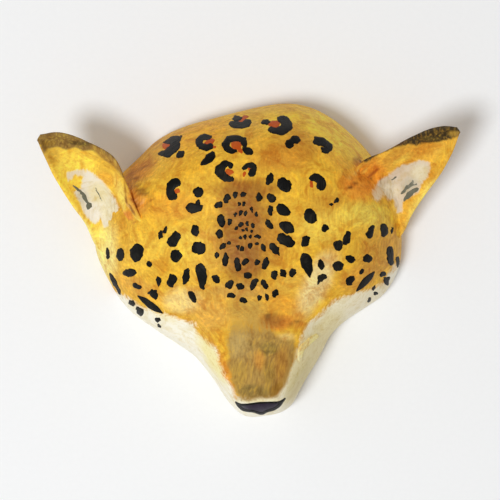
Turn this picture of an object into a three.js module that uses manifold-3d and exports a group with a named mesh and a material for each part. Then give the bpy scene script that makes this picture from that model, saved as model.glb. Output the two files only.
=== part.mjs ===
// Painted papier-mache leopard mask, lying face up on its flat rim.
// Millimetres. +Z points out of the face, +Y from muzzle to crown, +X to the viewer's right.

import * as THREE from 'three';
import { mergeVertices } from 'three/addons/utils/BufferGeometryUtils.js';
import Module from 'manifold-3d';

const wasm = await Module();
wasm.setup();

// ---- driving dimensions ----

const SHELL_THICKNESS = 3;
const EAR_THICKNESS = 2.8;
const STRIP_THICKNESS = 1;
const GAP = 0.3;

const CROWN_CENTRE = new THREE.Vector2(4, 42);
const NOSE_CENTRE = new THREE.Vector2(8.5, -86);
const SIDE_RAYS = 18;
const NOSE_RAYS = 12;
const CROWN_RAYS = 24;
const WALL_STEPS = 8;
const TOP_STEPS = 6;

const DOME = { centre: [5, 40], height: 94, drop: 0.45, halfWidth: 120, toCrown: 95, toNose: 90 };
const BRIDGE = { browY: -5, browHeight: 88, fall: 0.283, noseY: -97, noseHalfWidth: 15.5, spread: 0.342 };
const BRIDGE_SIDE_SLOPE = 2.2;
const BRIDGE_EDGE_RADIUS = 3;
const BLEND = 8;

const CHEEK_WALL = 42;
const MUZZLE_WALL = 11;
const NOSE_WALL = 14;

const WIRE_RADIUS = 0.8;
const LOOP_RAYS = [60, 62];
const LOOP_HEIGHT = 3;
const BAND_STEPS = [0, 0.5, 1];
const CREASE_RAYS = [13, 14, 15, 16];
const CREASE_STEPS = [7, 8, 9];
const EAR_CUP = 0.24;
const EAR_EDGE_INSET = 1.5;
const FILLET_RADIUS = 5.5;

// Plan of the rim, clockwise from the crown.
const RIM = [
  [16, 108], [34, 109], [56, 100.5], [76, 84], [94, 62], [104, 40], [107.5, 15], [105, -7],
  [94, -25], [71, -40], [58, -51], [50, -67.5], [36, -90], [31, -101], [24, -106], [9, -109.3],
  [-3, -109.5], [-10, -104], [-24, -84], [-39, -65.5], [-60, -52], [-84.5, -34.5], [-99, -13],
  [-107, 8], [-106, 25], [-96, 52], [-78, 70], [-64, 83.5], [-45, 93], [-11, 102.5],
];

// Edges of the ear leaves from inside the shell, over the root, to the tip.
const LEFT_EAR = {
  outer: [[-96, -3, 12], [-105, 9, 28], [-110.5, 23, 40], [-119, 36, 50], [-129, 53, 60],
    [-136.5, 70, 68], [-140, 79.5, 72]],
  inner: [[-60, 15, 58], [-73, 29, 77], [-81.5, 50, 67], [-90, 68.5, 65], [-107, 78.5, 69],
    [-124, 84, 73], [-138, 82.5, 74]],
};
const RIGHT_EAR = {
  outer: [[98, 4, 12], [106.5, 18, 28], [112, 31, 40], [120, 44, 51], [130, 59, 61],
    [137, 74.5, 68], [140.3, 85, 71]],
  inner: [[58, 37, 54], [67, 51, 73], [75, 64.5, 65], [90, 71.5, 66], [109, 82, 70],
    [127, 88.3, 73], [138.5, 87.6, 73]],
};

// ---- small helpers ----

const lerp = THREE.MathUtils.lerp;
const clamp = THREE.MathUtils.clamp;
const smoothstep = THREE.MathUtils.smoothstep;

function smoothMax(a, b, blend) {
  return 0.5 * (a + b + Math.hypot(a - b, blend));
}

function range(count, from = 0) {
  return Array.from({ length: count }, (_, i) => from + i);
}

function curve3(points) {
  return new THREE.CatmullRomCurve3(points.map((p) => new THREE.Vector3(...p)));
}

// ---- form of the face ----

const rimCurve = new THREE.CatmullRomCurve3(
  RIM.map(([x, y]) => new THREE.Vector3(x, y, 0)), true, 'centripetal');
const rimPoints = rimCurve.getPoints(RIM.length * 14);

function domeHeight(x, y) {
  const across = (x - DOME.centre[0]) / DOME.halfWidth;
  const along = (y - DOME.centre[1]) / (y > DOME.centre[1] ? DOME.toCrown : DOME.toNose);
  return DOME.height * (1 - DOME.drop * (across * across + along * along));
}

// The muzzle's bridge: a flat-topped ridge that falls and narrows towards the nose.
function bridgeHeight(x, y) {
  const height = BRIDGE.browHeight - BRIDGE.fall * (BRIDGE.browY - y);
  const halfWidth = BRIDGE.noseHalfWidth + BRIDGE.spread * (y - BRIDGE.noseY);
  const axis = 3 + 0.067 * (-11 - y);
  const aside = Math.abs(x - axis);
  const beyond = aside - halfWidth;
  const crowning = 0.08 * height * Math.min(aside / halfWidth, 1) ** 2;
  const side = 0.5 * (beyond + Math.hypot(beyond, BRIDGE_EDGE_RADIUS));
  return height - crowning - BRIDGE_SIDE_SLOPE * side;
}

function bodyHeight(x, y) {
  const dome = domeHeight(x, y);
  return y > 20 ? dome : smoothMax(dome, bridgeHeight(x, y), BLEND) - BLEND / 2 * smoothstep(y, -10, 20);
}

// Distance from a point to the rim along a direction, in plan.
function rimDistance(origin, direction) {
  let farthest = 0;
  for (let i = 0; i < rimPoints.length - 1; i += 1) {
    const a = rimPoints[i];
    const edgeX = rimPoints[i + 1].x - a.x;
    const edgeY = rimPoints[i + 1].y - a.y;
    const cross = direction.x * edgeY - direction.y * edgeX;
    if (Math.abs(cross) < 1e-9) continue;
    const offX = a.x - origin.x;
    const offY = a.y - origin.y;
    const along = (offX * edgeY - offY * edgeX) / cross;
    const onEdge = (offX * direction.y - offY * direction.x) / cross;
    if (onEdge >= 0 && onEdge <= 1 && along > farthest) farthest = along;
  }
  return farthest;
}

// How far in from the rim the wall keeps rounding over.
function wallWidth(y, reach) {
  const width = lerp(MUZZLE_WALL, CHEEK_WALL, smoothstep(y, -65, -8));
  const front = lerp(NOSE_WALL, width, smoothstep(y, -104, -92));
  return Math.min(front, 0.6 * reach);
}

// ---- rays that fan out from the spine of the face to its rim ----

const spine = NOSE_CENTRE.clone().sub(CROWN_CENTRE);
const spineDirection = spine.clone().normalize();
const rightward = new THREE.Vector2(-spineDirection.y, spineDirection.x);

function turned(vector, angle) {
  return vector.clone().rotateAround(new THREE.Vector2(), angle);
}

function makeRay(origin, direction) {
  const reach = rimDistance(origin, direction);
  const rimY = origin.y + direction.y * reach;
  return { origin, direction, reach, wall: wallWidth(rimY, reach) };
}

function makeRays() {
  const right = range(SIDE_RAYS + 1).map((k) => {
    const origin = CROWN_CENTRE.clone().lerp(NOSE_CENTRE, k / SIDE_RAYS);
    return makeRay(origin, rightward);
  });
  const nose = range(NOSE_RAYS - 1, 1).map((k) =>
    makeRay(NOSE_CENTRE.clone(), turned(rightward, -Math.PI * k / NOSE_RAYS)));
  const left = right.map((ray) => makeRay(ray.origin.clone(), rightward.clone().negate())).reverse();
  const crown = range(CROWN_RAYS - 1, 1).map((k) =>
    makeRay(CROWN_CENTRE.clone(), turned(rightward, Math.PI - Math.PI * k / CROWN_RAYS)));
  return [...right, ...nose, ...left, ...crown];
}

const rays = makeRays();

// A point on the face, or on a skin parallel to it, `grow` outside the painted surface.
function skinPoint(ray, step, grow) {
  const inWall = step <= WALL_STEPS;
  const turn = inWall ? (Math.PI / 2) * (step / WALL_STEPS) : Math.PI / 2;
  const wallEnd = ray.reach + grow - ray.wall;
  const radius = inWall
    ? wallEnd + ray.wall * Math.cos(turn)
    : wallEnd * (1 - (step - WALL_STEPS) / TOP_STEPS);
  const x = ray.origin.x + ray.direction.x * radius;
  const y = ray.origin.y + ray.direction.y * radius;
  return new THREE.Vector3(x, y, (bodyHeight(x, y) + grow) * Math.sin(turn));
}

function skin(grow) {
  return rays.map((ray) => range(WALL_STEPS + TOP_STEPS + 1).map((step) => skinPoint(ray, step, grow)));
}

// Height of the face above a point in plan, or -1 beyond the rim.
function faceHeight(x, y) {
  const point = new THREE.Vector2(x, y);
  const along = clamp(point.clone().sub(CROWN_CENTRE).dot(spineDirection), 0, spine.length());
  const origin = CROWN_CENTRE.clone().addScaledVector(spineDirection, along);
  const direction = point.clone().sub(origin);
  const radius = direction.length();
  if (radius < 1e-6) return bodyHeight(x, y);
  const ray = makeRay(origin, direction.normalize());
  if (radius > ray.reach) return -1;
  const into = clamp(1 - (ray.reach - radius) / ray.wall, 0, 1);
  return bodyHeight(x, y) * Math.sin(Math.acos(into));
}

// ---- closed solids from point grids ----

// Closes two parallel grids into one solid. A wrapped grid runs all the way round the face.
function gridSolid(top, bottom, wrapped) {
  const positions = [];
  const triangle = (a, b, c) => {
    for (const p of [a, b, c]) positions.push(p.x, p.y, p.z);
  };
  const quad = (a, b, c, d) => {
    triangle(a, b, c);
    triangle(a, c, d);
  };
  const rows = top.length;
  const columns = top[0].length;
  const lastRow = wrapped ? rows : rows - 1;
  for (let i = 0; i < lastRow; i += 1) {
    const n = (i + 1) % rows;
    for (let j = 0; j < columns - 1; j += 1) {
      quad(top[i][j], top[n][j], top[n][j + 1], top[i][j + 1]);
      quad(bottom[i][j], bottom[i][j + 1], bottom[n][j + 1], bottom[n][j]);
    }
    quad(top[i][0], bottom[i][0], bottom[n][0], top[n][0]);
    if (!wrapped) {
      const j = columns - 1;
      quad(top[i][j], top[n][j], bottom[n][j], bottom[i][j]);
    }
  }
  for (let j = 0; j < columns - 1 && !wrapped; j += 1) {
    const i = rows - 1;
    quad(top[0][j], top[0][j + 1], bottom[0][j + 1], bottom[0][j]);
    quad(top[i][j], bottom[i][j], bottom[i][j + 1], top[i][j + 1]);
  }
  return closedGeometry(positions);
}

// Merges the corners, drops triangles with no area and turns the faces outwards.
function closedGeometry(positions) {
  const loose = new THREE.BufferGeometry();
  loose.setAttribute('position', new THREE.Float32BufferAttribute(positions, 3));
  const merged = mergeVertices(loose, 1e-4);
  const index = merged.getIndex().array;
  const corner = (i) => new THREE.Vector3().fromBufferAttribute(merged.attributes.position, i);
  const kept = [];
  let volume = 0;
  for (let i = 0; i < index.length; i += 3) {
    const [a, b, c] = index.slice(i, i + 3);
    if (a === b || b === c || c === a) continue;
    kept.push(a, b, c);
    volume += corner(a).dot(corner(b).cross(corner(c)));
  }
  merged.setIndex(volume > 0 ? kept : kept.reverse());
  return merged;
}

function toManifold(geometry) {
  return new wasm.Manifold(new wasm.Mesh({
    numProp: 3,
    vertProperties: new Float32Array(geometry.attributes.position.array),
    triVerts: new Uint32Array(geometry.getIndex().array),
  }));
}

function toGeometry(manifold) {
  const mesh = manifold.getMesh();
  const geometry = new THREE.BufferGeometry();
  geometry.setAttribute('position', new THREE.Float32BufferAttribute(mesh.vertProperties, 3));
  geometry.setIndex(Array.from(mesh.triVerts));
  return geometry;
}

function biggestPieces(manifold, count) {
  return manifold.decompose().sort((a, b) => b.volume() - a.volume()).slice(0, count);
}

// ---- face shell and the strips that follow it ----

function shellGeometry() {
  return gridSolid(skin(0), skin(-SHELL_THICKNESS), true);
}

// The whole space under the face, grown by the gap, for trimming the pieces that sit on it.
function facePlug() {
  const top = skin(GAP);
  const bottom = top.map((row) => row.map((p) => new THREE.Vector3(p.x, p.y, -10)));
  return toManifold(gridSolid(top, bottom, true));
}

// A thin strip between two skins, over some of the rays and some of the steps up the wall.
function stripGeometry(rayIndices, steps, lowGrow, highGrow, lift = 0) {
  const layer = (grow) => rayIndices.map((r) =>
    steps.map((step) => {
      const p = skinPoint(rays[r], step, grow);
      p.z += lift;
      return p;
    }));
  return gridSolid(layer(highGrow), layer(lowGrow), false);
}

function raysBetween(first, last) {
  const count = (last - first + rays.length) % rays.length;
  return range(count + 1).map((k) => (first + k) % rays.length);
}

// ---- ears ----

// A point on the leaf's inner face, s from root to tip and v from its outer to its inner edge.
// The leaf dips between its edges in proportion to its width there.
function earPoint(ear, s, v) {
  const outer = ear.outerCurve.getPoint(s);
  const inner = ear.innerCurve.getPoint(s);
  const width = outer.distanceTo(inner);
  const inset = Math.min(EAR_EDGE_INSET / width, 0.3);
  const point = outer.lerp(inner, lerp(inset, 1 - inset, v));
  point.z -= EAR_CUP * width * 4 * v * (1 - v);
  return point;
}

function earNormal(ear, s, v) {
  const step = 0.01;
  const alongS = earPoint(ear, Math.min(s + step, 1), v).sub(earPoint(ear, Math.max(s - step, 0), v));
  const alongV = earPoint(ear, s, Math.min(v + step, 1)).sub(earPoint(ear, s, Math.max(v - step, 0)));
  const normal = alongS.cross(alongV).normalize();
  return normal.z < 0 ? normal.negate() : normal;
}

function makeEar(edges) {
  return { outerCurve: curve3(edges.outer), innerCurve: curve3(edges.inner) };
}

function earLeaf(ear, grow) {
  const along = 22;
  const across = 12;
  const layer = (offset) => range(along + 1).map((i) => range(across + 1).map((j) => {
    const s = i / along;
    const v = j / across;
    return earPoint(ear, s, v).addScaledVector(earNormal(ear, s, v), offset);
  }));
  return toManifold(gridSolid(layer(grow), layer(-EAR_THICKNESS - grow), false));
}

// Where the leaf comes out of the face, at a place v across it.
function rootPoint(ear, v) {
  let inside = 0;
  let outside = 0.6;
  for (let i = 0; i < 24; i += 1) {
    const middle = (inside + outside) / 2;
    const p = earPoint(ear, middle, v);
    if (p.z < faceHeight(p.x, p.y)) inside = middle;
    else outside = middle;
  }
  return earPoint(ear, outside, v);
}

// A bead of pasted paper along the root, which the leaf parts into a front and a back strip.
function rootBead(ear) {
  const path = new THREE.CatmullRomCurve3(range(9).map((k) => rootPoint(ear, 0.1 + 0.1 * k)));
  const section = new THREE.Shape();
  section.absarc(0, 0, FILLET_RADIUS, 0, 2 * Math.PI);
  return new THREE.ExtrudeGeometry(section, { steps: 22, curveSegments: 7, extrudePath: path });
}

function withoutSeams(geometry) {
  geometry.deleteAttribute('normal');
  geometry.deleteAttribute('uv');
  return mergeVertices(geometry, 1e-4);
}

function earPieces(edges, plug) {
  const ear = makeEar(edges);
  const leaf = biggestPieces(earLeaf(ear, 0).subtract(plug), 1)[0];
  const bead = toManifold(withoutSeams(rootBead(ear)));
  const strips = biggestPieces(bead.subtract(plug).subtract(earLeaf(ear, GAP)), 2);
  const height = (m) => m.boundingBox().max[2];
  strips.sort((a, b) => height(b) - height(a));
  return { leaf, front: strips[0], back: strips[1] };
}

// ---- hanging loop ----

// A bent wire: two legs down the inside of the crown, joined by a bight that a nail goes through.
function loopGeometry() {
  const inside = -(SHELL_THICKNESS + 2 * GAP + WIRE_RADIUS);
  const leg = (ray) => [2.8, 2.4, 2, 1.6].map((step) => skinPoint(rays[ray], step, inside));
  const first = leg(LOOP_RAYS[0]);
  const last = leg(LOOP_RAYS[1]).reverse();
  const foot = first[3];
  const otherFoot = last[0];
  const middle = (foot.x + otherFoot.x) / 2;
  const bight = [
    [foot.x, foot.y - 4, 12], [foot.x + 0.5, foot.y - 9, 5], [middle - 5, foot.y - 15, LOOP_HEIGHT],
    [middle, foot.y - 17, LOOP_HEIGHT], [middle + 5, foot.y - 15, LOOP_HEIGHT],
    [otherFoot.x - 0.5, otherFoot.y - 9, 5], [otherFoot.x, otherFoot.y - 4, 12],
  ].map((p) => new THREE.Vector3(...p));
  const path = new THREE.CatmullRomCurve3([...first, ...bight, ...last]);
  const section = new THREE.Shape();
  section.absarc(0, 0, WIRE_RADIUS, 0, 2 * Math.PI);
  return new THREE.ExtrudeGeometry(section, { steps: 60, curveSegments: 4, extrudePath: path });
}

// The paper pasted over the loop's legs, a wire's thickness off the inside of the crown.
function patchGeometry() {
  const near = -(SHELL_THICKNESS + 3 * GAP + 2 * WIRE_RADIUS + 0.4);
  const indices = raysBetween(LOOP_RAYS[0] - 1, LOOP_RAYS[1] + 1);
  return stripGeometry(indices, [1.8, 2.1, 2.4, 2.7], near - STRIP_THICKNESS, near);
}

// ---- assembly ----

const FINISH = {
  shellPaint: { color: '#e6b73e', roughness: 0.45, metalness: 0 },
  earPaint: { color: '#dba53a', roughness: 0.45, metalness: 0 },
  orangePaint: { color: '#cf7a28', roughness: 0.5, metalness: 0 },
  palePaint: { color: '#f3e29a', roughness: 0.45, metalness: 0 },
  kraftPaper: { color: '#b79868', roughness: 0.85, metalness: 0 },
  wire: { color: '#9b9b98', roughness: 0.35, metalness: 1 },
};

const mask = new THREE.Group();

function addPiece(name, geometry, finish) {
  geometry.computeVertexNormals();
  const piece = new THREE.Mesh(geometry, new THREE.MeshStandardMaterial(finish));
  piece.name = name;
  mask.add(piece);
}

function addEar(side, edges, plug) {
  const pieces = earPieces(edges, plug);
  addPiece(`${side}_ear`, toGeometry(pieces.leaf), FINISH.earPaint);
  addPiece(`${side}_ear_front_strip`, toGeometry(pieces.front), FINISH.orangePaint);
  addPiece(`${side}_ear_back_strip`, toGeometry(pieces.back), FINISH.kraftPaper);
}

// The rim bands lie on the inside of the wall, end to end with a small step between them.
function addRimBands() {
  const side = SIDE_RAYS + 1;
  const nose = side + NOSE_RAYS - 1;
  const crown = nose + side;
  const bands = {
    right: [1, 13],
    muzzle: [14, nose + 4],
    left: [nose + 5, crown - 2],
    crown: [crown - 1, 0],
  };
  const inner = -SHELL_THICKNESS - GAP;
  for (const [name, [first, last]] of Object.entries(bands)) {
    const band = stripGeometry(raysBetween(first, last), BAND_STEPS, inner - STRIP_THICKNESS, inner, 0.4);
    addPiece(`rim_band_${name}`, band, FINISH.kraftPaper);
  }
}

// A pasted strip stands proud along the edge of the bridge, on the viewer's right.
function addMuzzleCrease() {
  const low = 3 * GAP;
  const strip = stripGeometry(CREASE_RAYS, CREASE_STEPS, low, low + STRIP_THICKNESS);
  addPiece('muzzle_crease_strip', strip, FINISH.palePaint);
}

function addHanger() {
  addPiece('hanging_loop', withoutSeams(loopGeometry()), FINISH.wire);
  addPiece('hanging_patch', patchGeometry(), FINISH.kraftPaper);
}

addPiece('face_shell', shellGeometry(), FINISH.shellPaint);
const plug = facePlug();
addEar('left', LEFT_EAR, plug);
addEar('right', RIGHT_EAR, plug);
addMuzzleCrease();
addRimBands();
addHanger();

// The origin is under the middle of the mask's box, on the surface that its rim lies on.
const box = new THREE.Box3().setFromObject(mask);
mask.position.set(-(box.min.x + box.max.x) / 2, -(box.min.y + box.max.y) / 2, 0);

export default mask;
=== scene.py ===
"""Painted papier-mache leopard mask, lying face up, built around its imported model.

Places are in metres in the model's frame. Lists of places and sizes are in millimetres, and the painted
marks are given on the sheet that the rim lies on, as seen from the painter's eye above the mask.
"""

import math

import bmesh
import bpy
import numpy as np
from bpy.props import FloatProperty, FloatVectorProperty, PointerProperty
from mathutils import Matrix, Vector, noise
from mathutils.bvhtree import BVHTree


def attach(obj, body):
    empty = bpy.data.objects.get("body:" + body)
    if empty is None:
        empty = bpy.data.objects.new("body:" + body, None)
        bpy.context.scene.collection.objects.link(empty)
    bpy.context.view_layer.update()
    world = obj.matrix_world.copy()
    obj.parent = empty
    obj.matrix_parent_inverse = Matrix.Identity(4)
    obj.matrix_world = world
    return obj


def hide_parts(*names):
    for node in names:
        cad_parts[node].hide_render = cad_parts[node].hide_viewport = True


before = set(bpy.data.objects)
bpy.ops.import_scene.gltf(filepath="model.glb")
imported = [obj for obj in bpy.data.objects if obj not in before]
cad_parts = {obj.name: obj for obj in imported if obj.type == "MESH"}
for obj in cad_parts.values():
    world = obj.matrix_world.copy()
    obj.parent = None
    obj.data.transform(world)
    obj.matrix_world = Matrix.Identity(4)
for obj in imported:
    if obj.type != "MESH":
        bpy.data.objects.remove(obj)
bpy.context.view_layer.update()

bl_info = {
    "name": "Leopard Mask",
    "version": (1, 0, 0),
    "blender": (4, 5, 0),
    "location": "View3D > Sidebar > Leopard Mask",
    "description": "Builds a hand-painted papier-mache leopard mask around its fixed frame",
    "category": "Add Mesh",
}

MM = 0.001

# The painter's eye, straight above the forehead.
EYE = Vector((0.8, 6.95, 1400)) * MM

# ---- the mask's own form, in millimetres ----

# The model's origin is under the middle of the box, a little off the form's own zero.
CENTRING = np.array([-0.25, 0.30, 0.0])
SPINE = (np.array([4.0, 42.0]) + CENTRING[:2], np.array([8.5, -86.0]) + CENTRING[:2])

# Edges of the ear leaves from inside the shell, over the root, to the tip.
EARS = {
    "left": {
        "outer": [(-96, -3, 12), (-105, 9, 28), (-110.5, 23, 40), (-119, 36, 50), (-129, 53, 60),
                  (-136.5, 70, 68), (-140, 79.5, 72)],
        "inner": [(-60, 15, 58), (-73, 29, 77), (-81.5, 50, 67), (-90, 68.5, 65), (-107, 78.5, 69),
                  (-124, 84, 73), (-138, 82.5, 74)],
    },
    "right": {
        "outer": [(98, 4, 12), (106.5, 18, 28), (112, 31, 40), (120, 44, 51), (130, 59, 61),
                  (137, 74.5, 68), (140.3, 85, 71)],
        "inner": [(58, 37, 54), (67, 51, 73), (75, 64.5, 65), (90, 71.5, 66), (109, 82, 70),
                  (127, 88.3, 73), (138.5, 87.6, 73)],
    },
}
# How deep a leaf is cupped, as a share of its width, and how far its edge stands inside the lines above.
EAR_CUP = 0.24
EAR_EDGE_INSET = 1.5
EAR_THICKNESS = 2.8
EAR_SWELL = 0.5
EAR_GRAIN = 5
EAR_GRAIN_DEPTH = 0.16
EAR_ROWS = 90
EAR_COLUMNS = 60
# The length that the rounding of a leaf's two ends is reckoned on.
EAR_LENGTH = 40
# How deep the root is buried. It lies in the first part of the leaf, which is halved until it is found.
ROOT_DEPTH = 1.6
ROOT_LIMIT = 0.6
ROOT_HALVINGS = 18

# How far a strip reaches up the leaf and over the face, how far its edges sink in, how thick it is in the
# angle, and how much of the angle it fills.
FOLD_REACH = 8.5
FOLD_COLUMNS = 96
FOLD_ROWS = 22
FOLD_SINK = 0.35
FOLD_BURIED = 1
FOLD_HOLLOW = 0.16
WRINKLE = 4.2
FINE_WRINKLE = 2.4

# The relief of the paper dies out this close to the rim, which stays flat.
RIM_FADE = 5

# ---- the paint scheme ----
# A dab is (x, y, half length, half width, turn in degrees, colour, strength).

FACE_GROUND = "#E6B437"
FACE_DABS_AND_PAINTED_LIGHT = [
    (4, 98, 58, 9, 0, "#F6C938", 0.85),
    (62, 86, 34, 9, -38, "#FFD84A", 0.9),
    (26, 74, 24, 13, 10, "#CE8C2E", 0.8),
    (4, 82, 7, 20, 0, "#D9A238", 0.55),
    (-34, 88, 26, 9, 22, "#F0AE1E", 0.85),
    (-70, 72, 26, 6, 44, "#CE9733", 0.7),
    (-44, 66, 16, 9, 10, "#E2A930", 0.7),
    (-56, 38, 22, 10, 0, "#DE9A2C", 0.7),
    (78, 54, 15, 13, 30, "#FFA638", 0.9),
    (60, 70, 14, 7, -40, "#F2B83C", 0.75),
    (56, 39, 15, 12, 0, "#D09C34", 0.7),
    (82, 32, 24, 9, 0, "#F4DA5C", 0.75),
    (50, 22, 16, 12, 0, "#F0D057", 0.6),
    # Painted shade: the darker ochre on the right cheek, the side turned from the light.
    (90, 6, 15, 16, 0, "#D2983A", 0.6),
    (76, -12, 16, 9, 30, "#CE9238", 0.7),
    # Painted highlight: the pale yellow on the left cheek, the side turned to the light.
    (-101, 6, 9, 24, 0, "#FAEB94", 0.85),
    (-74, 5, 16, 14, 0, "#EBC047", 0.6),
    (-76, -20, 18, 7, -24, "#DDA443", 0.6),
    (-3, 18, 21, 40, 0, "#A26A22", 0.9),
    (-1, 49, 24, 7, 0, "#A26A20", 0.85),
    (19, 12, 9, 17, 0, "#BE7F2B", 0.55),
    (-2, -2, 13, 15, 0, "#A06C28", 0.75),
    (-47, 10, 16, 13, 0, "#F1CE4E", 0.65),
    (30, -14, 12, 10, 0, "#DFB04A", 0.6),
    (-34, -10, 11, 13, 0, "#DFAE42", 0.55),
    (-46, -29, 15, 9, 0, "#EBD08A", 0.8),
    (47, -17, 26, 9, 62, "#F4DE9E", 0.9),
    (-8, -22, 28, 7, 0, "#C4944A", 0.65),
    (-26, -38, 14, 12, 0, "#D9A54A", 0.85),
    (0, -36, 16, 11, 0, "#BF9643", 0.85),
    (24, -31, 13, 9, 0, "#DF9F36", 0.85),
    (22, -44, 14, 5, 8, "#CB7C2C", 0.85),
    (15, -42, 9, 5, 0, "#A36C28", 0.85),
    (14, -40, 3, 2, 60, "#7A5420", 0.7),
    (35, -42, 5, 6, 0, "#DD9A34", 0.8),
    (34, -43.5, 3, 1, 10, "#7E5722", 0.7),
    (29.5, -45.6, 2.2, 1, -20, "#8A5C22", 0.6),
    (26, -54, 7, 4, 0, "#DCBB70", 0.85),
    (25, -82, 14, 4, 68, "#B5893C", 0.85),
    (-17, -78, 20, 4, -66, "#E0982C", 0.9),
]

# Where one coat of paint ends on another: outlines, and the colours inside them.
CREAM_COAT_AND_PAINTED_SHADE = {
    "outlines": [[
        (88, 49), (90.4, 53.4), (96.4, 45.6), (98.4, 42.4), (96, 44.5), (91.5, 43), (89.4, 41),
        (88, 44),
    ], [
        (-92.5, -22.5), (-78, -32), (-61.5, -37.5), (-45, -43), (-38, -44), (-36.5, -51), (-30.5, -57),
        (-22.5, -62.5), (-21, -74), (-15.5, -84.5), (-8, -97.5), (20, -95), (27, -83), (31.5, -70),
        (35, -60), (42, -45), (61.5, -28), (76, -23.5), (94.5, -16.5), (104.5, -2), (125, -20),
        (90, -70), (60, -115), (20, -130), (-20, -130), (-70, -90), (-120, -40),
    ]],
    "ground": "#FDF8E6",
    "dabs": [
        (93, 47, 12, 12, 0, "#F6E4C6", 1),
        # Painted shade: the beige-grey dabs on the right side of the muzzle, turned from the light.
        (46, -60, 40, 12, 55, "#E9DAA2", 0.85),
        (34, -86, 20, 6, 60, "#D9CA92", 0.8),
        (84, -24, 20, 8, 28, "#F4E8C6", 0.75),
        (-26, -68, 22, 5, -62, "#F9ECA6", 0.85),
        (-34, -84, 22, 4, -58, "#F8F0C0", 0.7),
        (-62, -37, 14, 4, -30, "#F8E9B4", 0.6),
        (8, -99, 20, 3, 0, "#F5EBC2", 0.8),
    ],
}
OLIVE_COAT = {
    "outlines": [[
        (-24, -20), (-20, -40), (-15.5, -52), (-14.8, -64), (-15, -74), (-12, -84), (-8.5, -93),
        (-5, -99), (4, -98), (12, -97), (20, -96), (26.5, -85), (30, -74), (31.5, -63), (31.5, -56),
        (25, -56), (19, -50), (12, -36), (8, -20),
    ]],
    "fade": (-66, -26),
    "ground": "#B28C46",
    "dabs": [
        (-6, -60, 9, 10, 0, "#BF9F5C", 0.9),
        (14, -62, 7, 4, 0, "#94793A", 0.8),
        (12, -64.5, 2.4, 1.3, 10, "#5E4C20", 0.8),
        (18, -63.5, 2, 1.2, -20, "#63501F", 0.8),
        (3, -60, 1.2, 3, 0, "#8A6E34", 0.7),
        (8, -70, 5, 7, 0, "#D2923A", 0.85),
        (22, -74, 5, 14, -8, "#B27B30", 0.8),
        (14, -80, 4, 9, 0, "#A07C34", 0.7),
        (-8, -80, 7, 10, 0, "#B6903F", 0.8),
        (4, -92, 14, 5, 0, "#917638", 0.85),
        (-2, -89, 3.5, 1.5, 20, "#7F6A34", 0.6),
        (20, -90, 6, 3, 50, "#A87A28", 0.8),
    ],
}
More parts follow.
